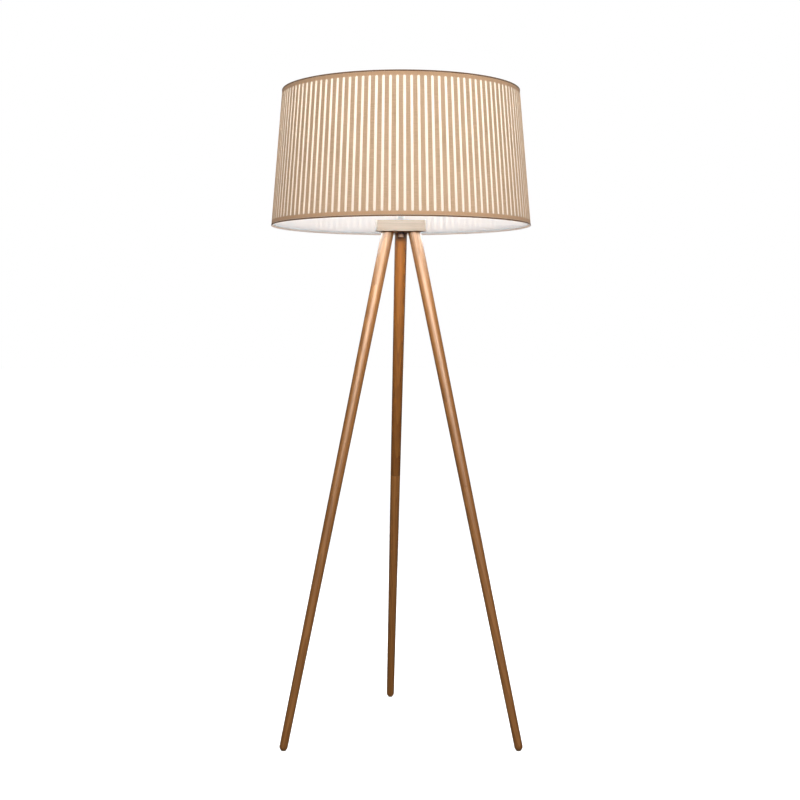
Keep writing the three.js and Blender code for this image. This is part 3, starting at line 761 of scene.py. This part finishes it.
def add_bulb_light():
    """The light that the bulb gives, from inside its glass."""
    low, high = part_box("bulb_glass")
    radius = (high.x - low.x) / 2
    data = bpy.data.lights.new("bulb_light", "POINT")
    data.energy = 6.1
    data.color = (0.63, 0.85, 1.0)
    data.shadow_soft_size = radius * 0.9
    light = bpy.data.objects.new("bulb_light", data)
    light.location = (0, 0, high.z - radius)
    light.visible_camera = False
    bpy.context.scene.collection.objects.link(light)


def add_glow(name, place, target, width, height, power, colour, pieces):
    """Light of the shade on wood, without a reflection of its own."""
    glow = add_softbox(name, place, target, width, height, power, colour)
    glow.visible_glossy = False
    shine_on(glow, pieces)


def add_gleam(name, place, target, width, height, power, colour, pieces):
    """The reflection of the bright shade in lacquer, without a light of its own."""
    gleam = add_softbox(name, place, target, width, height, power, colour)
    gleam.visible_diffuse = False
    gleam.visible_transmission = False
    shine_on(gleam, pieces)


def pieces_for(*nodes):
    """The pieces that stand for some CAD nodes."""
    return [bpy.data.objects[fine(node)] for node in nodes]


def keep_light_off(name, pieces):
    """Lets a light shine on everything but some pieces."""
    meshes = [piece for piece in bpy.data.objects if piece.type == "MESH"]
    shine_on(bpy.data.objects[name], [piece for piece in meshes if piece not in pieces])


def limit_lights():
    """The wood and what is under the hub get the shade's glow instead of the side lights, and the fittings
    are lit by the lining around them instead of straight from the bulb. The pieces under the hub are also
    coloured darker, as painted shade."""
    legs = [f"{half}_leg_{side}" for half in ("upper", "lower") for side in SIDES]
    wood = pieces_for("hub", *legs)
    under = pieces_for("stem_washer", "stem_lock_nut", "cable_gland")
    rear = pieces_for("upper_leg_rear")
    front = pieces_for("upper_leg_left", "upper_leg_right")
    low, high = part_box("shade_liner")
    radius = high.x
    rim = (0, -0.9 * radius, low.z + 0.045)
    add_glow("front_glow", rim, (0, 0.08, 1.0), 0.4, 0.09, 4.5, WARM, rear + under)
    add_glow("shade_glow", (0, 0, low.z + 0.06), (0, 0, 0.9), 1.6 * radius, 1.6 * radius, 1.2, COOL, front)
    add_gleam("front_gleam", (0, -1.2, 1.42), (0, 0, 1.1), 1.7, 0.7, 46, CREAM, wood)
    for index in range(GLEAM_COUNT):
        angle = 2 * math.pi * (index + 0.5) / GLEAM_COUNT
        place = Vector((math.cos(angle), math.sin(angle), 0)) * radius * 0.93
        place.z = low.z + 0.07
        add_gleam(f"gleam_{index + 1}", place, (0, 0, low.z - 0.05), radius, 0.14, 3.4, COOL, wood)
    # Painted shade: the washer, lock nut and gland are coloured darker for the shadow under the hub.
    for piece in under:
        piece.color = rgb(0.42, 0.32, 0.32)
    fittings = ("fitter", "shade_ring", "holder", "retaining", "switch", "bulb", "flange")
    keep_light_off("bulb_light", [piece for piece in bpy.data.objects if piece.name.startswith(fittings)])
    keep_light_off("front_light", under)
    for name in ("left_light", "right_light", "floor_bounce"):
        keep_light_off(name, under + wood)


# ---- Shade ----

class Sleeve:
    """Builds the slotted sleeve column by column. A column is a list of vertices on one side of the cloth:
    a ribbon's column runs from the bottom edge to the top edge, and a slot's column has only the band
    below the slot and the band above it."""

    ARC_STEPS = 8
    RIBBON_STEPS = 4
    ROWS = 10

    def __init__(self):
        self.bottom, self.top, _, self.low_radius = extent("shade_sleeve")
        self.high_radius = widest("shade_sleeve", self.top - GAP, self.top)
        inner = min(radius for height, radius in outline_points("shade_sleeve") if height < self.bottom + GAP)
        self.thickness = CLOTH_SHARE * (self.low_radius - inner)
        hem_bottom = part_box("shade_hem_bottom")[0].z
        hem_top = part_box("shade_hem_top")[1].z
        self.slot_low = hem_bottom + SLOT_MARGIN + SLOT_WIDTH / 2
        self.slot_high = hem_top - SLOT_MARGIN - SLOT_WIDTH / 2
        self.vertices = []
        self.faces = []

    def radius(self, height):
        share = (height - self.bottom) / (self.top - self.bottom)
        return self.low_radius + (self.high_radius - self.low_radius) * share

    def vertex(self, angle, height, inset):
        reach = self.radius(height) - inset
        self.vertices.append((reach * math.cos(angle), reach * math.sin(angle), height))
        return len(self.vertices) - 1

    def slot_column(self, middle, step, inset):
        turn = math.pi * step / self.ARC_STEPS
        offset = -SLOT_WIDTH / 2 * math.cos(turn)
        rise = SLOT_WIDTH / 2 * math.sin(turn)
        heights = (self.bottom, self.slot_low - rise, self.slot_high + rise, self.top)
        return [self.vertex(middle + offset / self.radius(height), height, inset) for height in heights]

    def ribbon_column(self, middle, step, inset):
        pitch = 2 * math.pi / SLOT_COUNT
        share = step / self.RIBBON_STEPS
        rise = (self.slot_high - self.slot_low) / self.ROWS
        heights = [self.bottom] + [self.slot_low + row * rise for row in range(self.ROWS + 1)] + [self.top]
        column = []
        for height in heights:
            half_slot = SLOT_WIDTH / 2 / self.radius(height)
            angle = middle + half_slot + (pitch - 2 * half_slot) * share
            column.append(self.vertex(angle, height, inset))
        return column

    def columns(self, inset):
        columns = []
        for index in range(SLOT_COUNT):
            middle = -math.pi / 2 + (index + 0.5) * 2 * math.pi / SLOT_COUNT
            columns += [self.slot_column(middle, step, inset) for step in range(1, self.ARC_STEPS)]
            columns += [self.ribbon_column(middle, step, inset) for step in range(self.RIBBON_STEPS + 1)]
        return columns

    def add_side(self, columns):
        """The faces of one side, and the vertex pairs along its free edges."""
        edges = []
        for left, right in zip(columns, columns[1:] + columns[:1]):
            edges += [(left[0], right[0]), (left[-1], right[-1])]
            if len(left) == len(right) and len(left) > 4:
                for row in range(len(left) - 1):
                    self.faces.append((left[row], right[row], right[row + 1], left[row + 1]))
                continue
            self.faces.append((left[0], right[0], right[1], left[1]))
            self.faces.append((left[-2], right[-2], right[-1], left[-1]))
            edges += [(left[1], right[1]), (left[-2], right[-2])]
        for index, column in enumerate(columns):
            neighbours = (columns[index - 1], columns[(index + 1) % len(columns)])
            if len(column) > 4 and any(len(neighbour) == 4 for neighbour in neighbours):
                edges += list(zip(column[1:-2], column[2:-1]))
        return edges

    def build(self, name):
        outer_edges = self.add_side(self.columns(0))
        inner_edges = self.add_side(self.columns(self.thickness))
        for (a, b), (c, d) in zip(outer_edges, inner_edges):
            self.faces.append((a, b, d, c))
        return make_piece(name, self.vertices, self.faces)


def build_sleeve(cloth):
    sleeve = cloth.build(fine("shade_sleeve"))
    wrap_uv(sleeve, cloth.low_radius)
    return install(sleeve, "shade_fabric", "shade_sleeve")


def build_liner():
    """A closed cone of thin sheet close inside the cloth."""
    bottom, top, _, low_outer = extent("shade_liner")
    low_outer += LINER_OUT
    high_outer = widest("shade_liner", top - GAP, top) + LINER_OUT
    low_inner = min(radius for height, radius in outline_points("shade_liner") if height < bottom + GAP)
    thickness = low_outer - low_inner
    rows = 8
    outer = []
    for row in range(rows + 1):
        share = row / rows
        outer.append((low_outer + (high_outer - low_outer) * share, bottom + (top - bottom) * share))
    inner = [(radius - thickness, height) for radius, height in reversed(outer)]
    liner = turned(fine("shade_liner"), outer + inner, SHADE_SIDES)
    wrap_uv(liner, low_outer)
    return install(liner, "shade_liner", "shade_liner")


def build_hem(node):
    """The rolled edge: fabric outside, and the white lining turned over it inside."""
    bottom, top, inner, outer = extent(node)
    profile = soften(block(inner, outer, bottom, top), (top - bottom) * 0.42, 6)
    hem = turned(fine(node), profile, SHADE_SIDES)
    wrap_uv(hem, outer)
    # Its dark fabric colour is painted shade on the same cloth as the sleeve.
    hem.data.materials.append(FINISHES["shade_hem"])
    hem.data.materials.append(FINISHES["shade_liner"])
    cloth_starts = outer - (outer - inner) * 0.3
    for polygon in hem.data.polygons:
        if math.hypot(polygon.center.x, polygon.center.y) < cloth_starts:
            polygon.material_index = 1
    return install(hem, "shade_hem", node)


def build_ring(node):
    bottom, top, _, outer = extent(node)
    wire = (top - bottom) / 2
    section = arc(outer - wire, bottom + wire, wire, 0, 345, 23)
    return turn_piece(node, "white_metal", section, SHADE_SIDES)


def build_arm(side):
    """A wire arm, welded to the top ring and to the fitter ring."""
    node = f"fitter_arm_{side}"
    low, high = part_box(node)
    fitter_low, fitter_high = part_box("fitter_ring")
    ring_low, ring_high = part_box("shade_ring_top")
    fitter_level = Vector((0, 0, (fitter_low.z + fitter_high.z) / 2))
    ring_level = Vector((0, 0, (ring_low.z + ring_high.z) / 2))
    _, _, inner, outer = extent(node)
    wire = (ring_high.z - ring_low.z) / 2
    weld = 0.8 * MM
    straight = 14 * MM
    bend = 0.12
    centre = (low + high) / 2
    outwards = Vector((centre.x, centre.y, 0)).normalized()
    ends = [
        outwards * (outer + weld - wire / 2) + ring_level,
        outwards * (outer - straight) + ring_level,
        outwards * (inner + straight) + fitter_level,
        outwards * (inner - weld + wire / 2) + fitter_level,
    ]
    leave = ends[1].lerp(ends[2], bend)
    arrive = ends[2].lerp(ends[1], bend)
    path = bezier(ends[0], ends[1], leave, 10)
    path += [leave.lerp(arrive, step / 4) for step in range(4)]
    path += bezier(arrive, ends[2], ends[3], 10) + [ends[3]]
    return install(sweep(fine(node), path, wire), "white_metal", node)


def build_fitter():
    bottom, top, inner, outer = extent("fitter_ring")
    profile = soften(block(inner, outer, bottom, top), 0.5 * MM)
    return turn_piece("fitter_ring", "white_metal", profile, ROUND_SIDES)


def build_shade():
    cloth = Sleeve()
    sleeve = build_sleeve(cloth)
    build_liner()
    hems = [build_hem("shade_hem_bottom"), build_hem("shade_hem_top")]
    build_ring("shade_ring_bottom")
    build_ring("shade_ring_top")
    build_fitter()
    for side in SIDES:
        build_arm(side)


# ---- Hub ----

def build_hub(leg_places):
    """A triangle with its corners cut off, eased along every edge and bored for the fastenings."""
    low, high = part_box("hub")
    corner_distance = high.y
    corner_width = 4 * (high.x - high.y * math.cos(math.radians(30)))
    outline = []
    for azimuth in (90, 210, 330):
        turn = Matrix.Rotation(math.radians(azimuth), 3, "Z")
        outline += [turn @ Vector((corner_distance, side * corner_width / 2, 0)) for side in (-1, 1)]
    vertices = [(point.x, point.y, height) for height in (low.z, high.z) for point in outline]
    count = len(outline)
    faces = [tuple(reversed(range(count))), tuple(range(count, 2 * count))]
    faces += [(i, (i + 1) % count, (i + 1) % count + count, i + count) for i in range(count)]
    hub = make_piece(fine("hub"), vertices, faces)
    work = bmesh.new()
    work.from_mesh(hub.data)
    bmesh.ops.bevel(
        work, geom=work.edges[:], offset=HUB_EDGE, segments=4, profile=0.5,
        affect="EDGES", clamp_overlap=True)
    set_shading(work)
    work.to_mesh(hub.data)
    work.free()

    reach = 60 * MM
    cutters = [cylinder("stem_hole", extent("stem").outer + GAP, low.z - reach, high.z + reach)]
    for side, place in leg_places.items():
        bottom, top, _, head = extent(f"leg_bolt_{side}", place)
        shank = widest(f"leg_bolt_{side}", bottom, bottom + GAP, place)
        seat = bolt_seat(side, place)
        cutters.append(cylinder("bolt_hole", shank + GAP, bottom, top, place))
        cutters.append(cylinder("bolt_seat", head + 3 * GAP, seat - GAP, seat + reach, place))
    for index in (1, 2, 3):
        node = f"flange_screw_{index}"
        bottom, top, _, head = extent(node, upright_place(node))
        cutters.append(cylinder("screw_hole", head / 2 + GAP, bottom, high.z + reach, upright_place(node)))
    return install(carve(hub, cutters), "hub_wood", "hub")


def cylinder(name, radius, low, high, place=HERE):
    return turned(name, block(0, radius, low, high), SMALL_SIDES, place)


def bolt_seat(side, place):
    """Height of the underside of a leg bolt's head, in the leg's frame."""
    points = outline_points(f"leg_bolt_{side}", place)
    widest_radius = max(radius for _, radius in points)
    return min(height for height, radius in points if radius > widest_radius - GAP)


# ---- Legs ----

def leg_radius(side, place):
    """The leg's radius as a function of the height above its seam."""
    points = outline_points(f"upper_leg_{side}", place)
    top_height, top_radius = points[-1]
    seam_radius = max(radius for height, radius in points if height < GAP)
    return lambda height: seam_radius + (top_radius - seam_radius) * height / top_height


def build_upper_leg(side, place):
    node = f"upper_leg_{side}"
    radius = leg_radius(side, place)
    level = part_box(node)[1].z
    up = place.to_3x3().col[2]
    top = (level - place.translation.z) / up.z
    insert = extent(f"leg_top_insert_{side}", place)
    bore = insert.outer + GAP
    top_depth = insert.bottom - 2 * MM
    seam_depth = extent(f"leg_seam_insert_{side}", place).top + 1 * MM
    profile = [(0, top_depth), (bore, top_depth), (bore, top)]
    profile += [(radius(top) - SEAM_EDGE / 2, top), (radius(top), top - SEAM_EDGE / 2)]
    profile += ease([(radius(0), 4 * SEAM_EDGE), (radius(0), 0), (0, 0)], SEAM_EDGE)
    profile += [(bore, 0), (bore, seam_depth), (0, seam_depth)]
    leg = turned(fine(node), profile, ROUND_SIDES, place)
    level_top(leg, top - 4 * SEAM_EDGE)
    # The tint is wood tone, and on the rear leg it is also painted shade.
    leg.color = rgb(*UPPER_LEG_TINTS_AND_PAINTED_SHADE[side])
    return install(leg, "leg_wood", node)


def level_top(leg, above):
    """Slides the points above a height along the leg, so that its top lies level under the hub."""
    normal = leg.matrix_world.to_3x3().inverted() @ Vector((0, 0, 1))
    for vertex in leg.data.vertices:
        if vertex.co.z > above:
            vertex.co.z -= (normal.x * vertex.co.x + normal.y * vertex.co.y) / normal.z


def build_lower_leg(side, place):
    """The lower half ends in a half ball, cut level over its glide."""
    node = f"lower_leg_{side}"
    radius = leg_radius(side, place)
    bottom = extent(node, place).bottom
    top = -SEAM_GAP
    foot_radius = widest(node, bottom, bottom + 10 * MM, place)
    up = place.to_3x3().col[2]
    foot = (foot_radius - place.translation.z) / up.z
    stud = extent(f"leg_stud_{side}", place)
    bore = stud.outer + GAP
    depth = stud.bottom - 1 * MM
    profile = arc(0, foot, foot_radius, -90, 0, 16)
    profile[0] = (0, foot - foot_radius)
    profile += ease([(radius(top), top - 4 * SEAM_EDGE), (radius(top), top), (bore, top)], SEAM_EDGE)
    profile += [(bore, top), (bore, depth), (0, depth)]
    leg = turned(fine(node), profile, ROUND_SIDES, place)
    cut_level(leg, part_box(node)[0].z)
    leg.color = rgb(*LOWER_LEG_TINTS[side])
    return install(leg, "leg_wood", node)


def build_glide(side):
    node = f"foot_glide_{side}"
    place = upright_place(node)
    bottom, top, _, outer = extent(node, place)
    corners = [(0, bottom), (outer * 0.82, bottom), (outer, (bottom + top) / 2), (outer, top), (0, top)]
    return turn_piece(node, "glide", soften(corners, 0.4 * MM), ROUND_SIDES, place)


def build_leg_fastenings(side, place):
    """The bolt through the hub, the two threaded inserts and the stud at the seam."""
    node = f"leg_bolt_{side}"
    bottom, top, _, head = extent(node, place)
    shank = widest(node, bottom, bottom + GAP, place)
    seat = bolt_seat(side, place)
    thread_top = bottom + 30 * MM
    profile = [(0, bottom)] + thread(shank, bottom, thread_top)
    profile += [(shank, thread_top + 0.5 * MM), (shank, seat)]
    profile += ease(block(0, head, seat, top), 0.4 * MM) + [(0, top)]
    bolt = turned(fine(node), profile, SMALL_SIDES, place, ribs(20, 0.25 * MM, seat + 1 * MM, top - 0.6 * MM))
    drive = turned("drive", block(0, shank * 0.8, top - 3 * MM, top + 1 * MM), 6, place)
    install(carve(bolt, [drive]), "steel", node)

    for node in (f"leg_top_insert_{side}", f"leg_seam_insert_{side}"):
        low, high, inner, outer = extent(node, place)
        coarse = thread(outer, low + 0.5 * MM, high - 1.5 * MM, 2 * MM, 0.8 * MM)
        profile = [(inner, low), (outer - 0.8 * MM, low)] + coarse + [(outer, high - 0.8 * MM), (outer, high)]
        profile += [(inner + 0.4 * MM, high)]
        profile += list(reversed(thread(inner + THREAD_DEPTH, low + 0.5 * MM, high - 0.5 * MM)))
        turn_piece(node, "brass", profile, SMALL_SIDES, place)

    node = f"leg_stud_{side}"
    low, high, _, outer = extent(node, place)
    turn_piece(node, "steel", rod(0, outer, low, high, 0.6 * MM), SMALL_SIDES, place)


def build_legs(leg_places):
    for side, place in leg_places.items():
        build_upper_leg(side, place)
        build_lower_leg(side, place)
        build_glide(side)
        build_leg_fastenings(side, place)


# ---- Stem and its fastenings ----

def build_stem():
    low, high, inner, outer = extent("stem")
    turn_piece("stem", "white_metal", rod(inner, outer, low, high, 0.5 * MM))

    low, high, inner, outer = extent("stem_washer")
    turn_piece("stem_washer", "steel", soften(block(inner, outer, low, high), 0.3 * MM))

    low, high, inner, corner = extent("stem_lock_nut")
    apothem = corner * math.cos(math.pi / 6)
    chamfer = 0.6 * MM
    profile = [(inner, low), (apothem * 0.97, low), (corner, low + chamfer), (corner, high - chamfer)]
    profile += [(apothem * 0.97, high), (inner, high)]
    flats = hexagon(apothem, low + chamfer / 2, high - chamfer / 2)
    turn_piece("stem_lock_nut", "steel", profile, 96, HERE, flats)


def build_gland():
    """A cup with a grip of fine ribs, and a rounded mouth for the cord."""
    low, high, mouth, outer = extent("cable_gland")
    stem = extent("stem")
    inner = stem.outer + GAP
    lip = stem.bottom - GAP
    profile = [(inner, lip), (mouth, lip)]
    profile += ease([(mouth, lip), (mouth, low), (outer, low), (outer, high)], 1.2 * MM, 6)
    profile += [(outer, high - 0.4 * MM), (outer - 0.4 * MM, high), (inner, high)]
    grip = ribs(24, 0.35 * MM, low + 3 * MM, high - 0.5 * MM)
    return turn_piece("cable_gland", "white_plastic", profile, 96, HERE, grip)


def build_flange():
    low, high, bore, outer = extent("stem_flange")
    points = outline_points("stem_flange")
    plate_top = max(height for height, radius in points if radius > outer - GAP)
    collar = widest("stem_flange", high - GAP, high)
    profile = soften([(bore, low), (outer, low), (outer, plate_top), (collar, plate_top), (collar, high),
                      (bore, high)], 0.8 * MM, 4)
    flange = turned(fine("stem_flange"), profile, ROUND_SIDES)
    cutters = []
    for index in (1, 2, 3):
        node = f"flange_screw_{index}"
        place = upright_place(node)
        _, top, _, head = extent(node, place)
        shank = head / 2 + GAP
        sink = [(0, low - 1 * MM), (shank, low - 1 * MM), (shank, low + 1 * MM), (head + GAP, top - GAP),
                (head + GAP, top + 1 * MM), (0, top + 1 * MM)]
        cutters.append(turned("sink", sink, SMALL_SIDES, place))
    install(carve(flange, cutters), "white_metal", "stem_flange")


def build_flange_screw(index):
    """A countersunk wood screw with a cross recess."""
    node = f"flange_screw_{index}"
    place = upright_place(node)
    low, high, _, head = extent(node, place)
    shank = head / 2
    seat = high - (head - shank)
    profile = [(0, low), (shank * 0.5, low + 2 * MM)] + thread(shank, low + 2.4 * MM, seat - 1 * MM, 1.4 * MM)
    profile += [(shank, seat), (head, high - 0.15 * MM), (head, high), (0, high)]
    screw = turned(fine(node), profile, SMALL_SIDES, place)
    slots = []
    for turn in (0, 90):
        half_length, half_width, depth = 2.1 * MM, 0.45 * MM, 1.6 * MM
        corners = [(x, y) for x in (-half_length, half_length) for y in (-half_width, half_width)]
        vertices = [(x * 0.5, y, high - depth) for x, y in corners]
        vertices += [(x, y, high + depth) for x, y in corners]
        faces = [(0, 1, 3, 2), (4, 6, 7, 5), (0, 4, 5, 1), (2, 3, 7, 6), (0, 2, 6, 4), (1, 5, 7, 3)]
        turned_place = place @ Matrix.Rotation(math.radians(turn), 4, "Z")
        slots.append(make_piece("slot", vertices, faces, turned_place))
    install(carve(screw, slots), "steel", node)


# ---- Lampholder ----

def build_holder_cap():
    low, high, bore, outer = extent("holder_cap")
    wall = 2 * MM
    neck = bore + wall
    shoulder = low + 10 * MM
    profile = soften([
        (bore, low), (neck, low), (neck + 2.6 * MM, low + 4 * MM), (outer - 2 * MM, shoulder - 2 * MM),
        (outer, shoulder + 2 * MM), (outer, high), (outer - wall, high), (outer - wall, shoulder + 3 * MM),
        (bore, shoulder + 3 * MM),
    ], 1.2 * MM, 4)
    grip = ribs(30, 0.4 * MM, shoulder + 3 * MM, high - 2 * MM)
    return turn_piece("holder_cap", "white_plastic", profile, 120, HERE, grip)


def build_holder_body():
    """The body: a shoulder for the shade's fitter ring, with the retaining ring's thread above it."""
    low, high, inner, shoulder_radius = extent("holder_body")
    points = outline_points("holder_body")
    shoulder = max(height for height, radius in points if radius > shoulder_radius - GAP)
    outer = widest("holder_body", low, low + GAP)
    profile = [(outer - 0.4 * MM, low), (outer, low + 0.4 * MM), (outer, shoulder - 5 * MM)]
    profile += ease([
        (outer, shoulder - 5 * MM), (shoulder_radius, shoulder - 2 * MM), (shoulder_radius, shoulder),
        (outer, shoulder),
    ], 0.5 * MM)
    profile += thread(outer, shoulder + 1.5 * MM, high - 1 * MM, 2.2 * MM, 0.6 * MM)
    profile += [(outer - 0.6 * MM, high), (inner, high)]
    body = turned(fine("holder_body"), [(inner, low)] + profile, ROUND_SIDES)
    spindle = extent("switch_spindle", switch_place()).outer
    hole = cylinder("hole", spindle + 2 * GAP, 0, 2 * outer, switch_place())
    return install(carve(body, [hole]), "white_plastic", "holder_body")


def build_screw_shell():
    low, high, inner, outer = extent("holder_screw_shell")
    wall = outer - inner
    wave = round_thread(outer, low, high - 1 * MM)
    profile = wave + [(outer - CAP_THREAD_DEPTH, high)]
    inside = [(radius - wall * 0.6, height) for radius, height in reversed(profile)]
    return turn_piece("holder_screw_shell", "brass", profile + inside, ROUND_SIDES)


def build_retaining_ring():
    low, high, inner, outer = extent("retaining_ring")
    skirt = widest("retaining_ring", high - GAP, high)
    profile = soften([(inner, low), (outer, low), (outer, low + 3 * MM), (skirt, low + 4 * MM), (skirt, high),
                      (inner, high)], 0.7 * MM, 4)
    grip = ribs(24, 0.9 * MM, low - MM, low + 3.4 * MM)
    return turn_piece("retaining_ring", "white_plastic", profile, 192, HERE, grip)


def build_switch():
    place = switch_place()
    low, high, _, outer = extent("switch_knob", place)
    spindle = extent("switch_spindle", place)
    deep = low + 6.5 * MM
    bore = spindle.outer + GAP
    profile = [(0, deep), (bore, deep), (bore, low)]
    skirt = [(0, low), (outer - 1 * MM, low), (outer, low + 3 * MM), (outer, high), (0, high)]
    profile += ease(skirt, 0.9 * MM, 5) + [(0, high)]
    grip = ribs(18, 0.5 * MM, low + 3.2 * MM, high - 0.6 * MM)
    turn_piece("switch_knob", "white_plastic", profile, 144, place, grip)

    rounded_pin = soften(block(0, spindle.outer, spindle.bottom, spindle.top), 0.3 * MM)
    turn_piece("switch_spindle", "steel", rounded_pin, SMALL_SIDES, place)


# ---- Bulb ----

def build_bulb():
    low, high, _, radius = extent("bulb_glass")
    centre = high - radius
    cap_low, cap_high, _, cap_radius = extent("bulb_cap")
    neck = cap_radius - 0.4 * MM
    join = math.radians(-38)
    shoulder = (radius * math.cos(join), centre + radius * math.sin(join))
    flare = bezier(Vector((neck + 0.6 * MM, low + 8 * MM)), Vector((neck + 1.5 * MM, low + 18 * MM)),
                   Vector(shoulder), 8)
    profile = [(0, low), (neck, low)] + [tuple(point) for point in flare]
    profile += arc(0, centre, radius, -38, 88, 22) + [(0, high)]
    glass = turn_piece("bulb_glass", "bulb_glass", profile, ROUND_SIDES)
    glass.visible_shadow = False

    edge = cap_low + 3 * MM
    profile = [(0, cap_low), (cap_radius - 4 * MM, cap_low), (cap_radius - CAP_THREAD_DEPTH, edge)]
    profile += round_thread(cap_radius, edge + 0.5 * MM, cap_high - 4 * MM)
    profile += [(cap_radius, cap_high - 3 * MM), (cap_radius, cap_high - 0.5 * MM)]
    profile += [(cap_radius - 0.5 * MM, cap_high)]
    profile += [(0, cap_high)]
    turn_piece("bulb_cap", "bulb_cap", profile, ROUND_SIDES)


# ---- CAD nodes that stay ----

KEPT_NODES = {
    "holder_insulator": "ceramic",
    "holder_contact": "brass",
    "bulb_contact": "brass",
}


def dress_kept_nodes():
    for node, slot in KEPT_NODES.items():
        kept = frame["nodes"][node]
        kept.data.materials.clear()
        kept.data.materials.append(FINISHES[slot])


# ---- The scene ----

def build_lamp():
    leg_places = {side: leg_place(side) for side in SIDES}
    build_shade()
    build_hub(leg_places)
    build_legs(leg_places)
    build_stem()
    build_gland()
    build_flange()
    for index in (1, 2, 3):
        build_flange_screw(index)
    build_holder_cap()
    build_holder_body()
    build_screw_shell()
    build_retaining_ring()
    build_switch()
    build_bulb()
    dress_kept_nodes()
    limit_lights()


bpy.context.scene.view_settings.view_transform = "Standard"
add_camera()
add_studio()
add_bulb_light()
build_lamp()
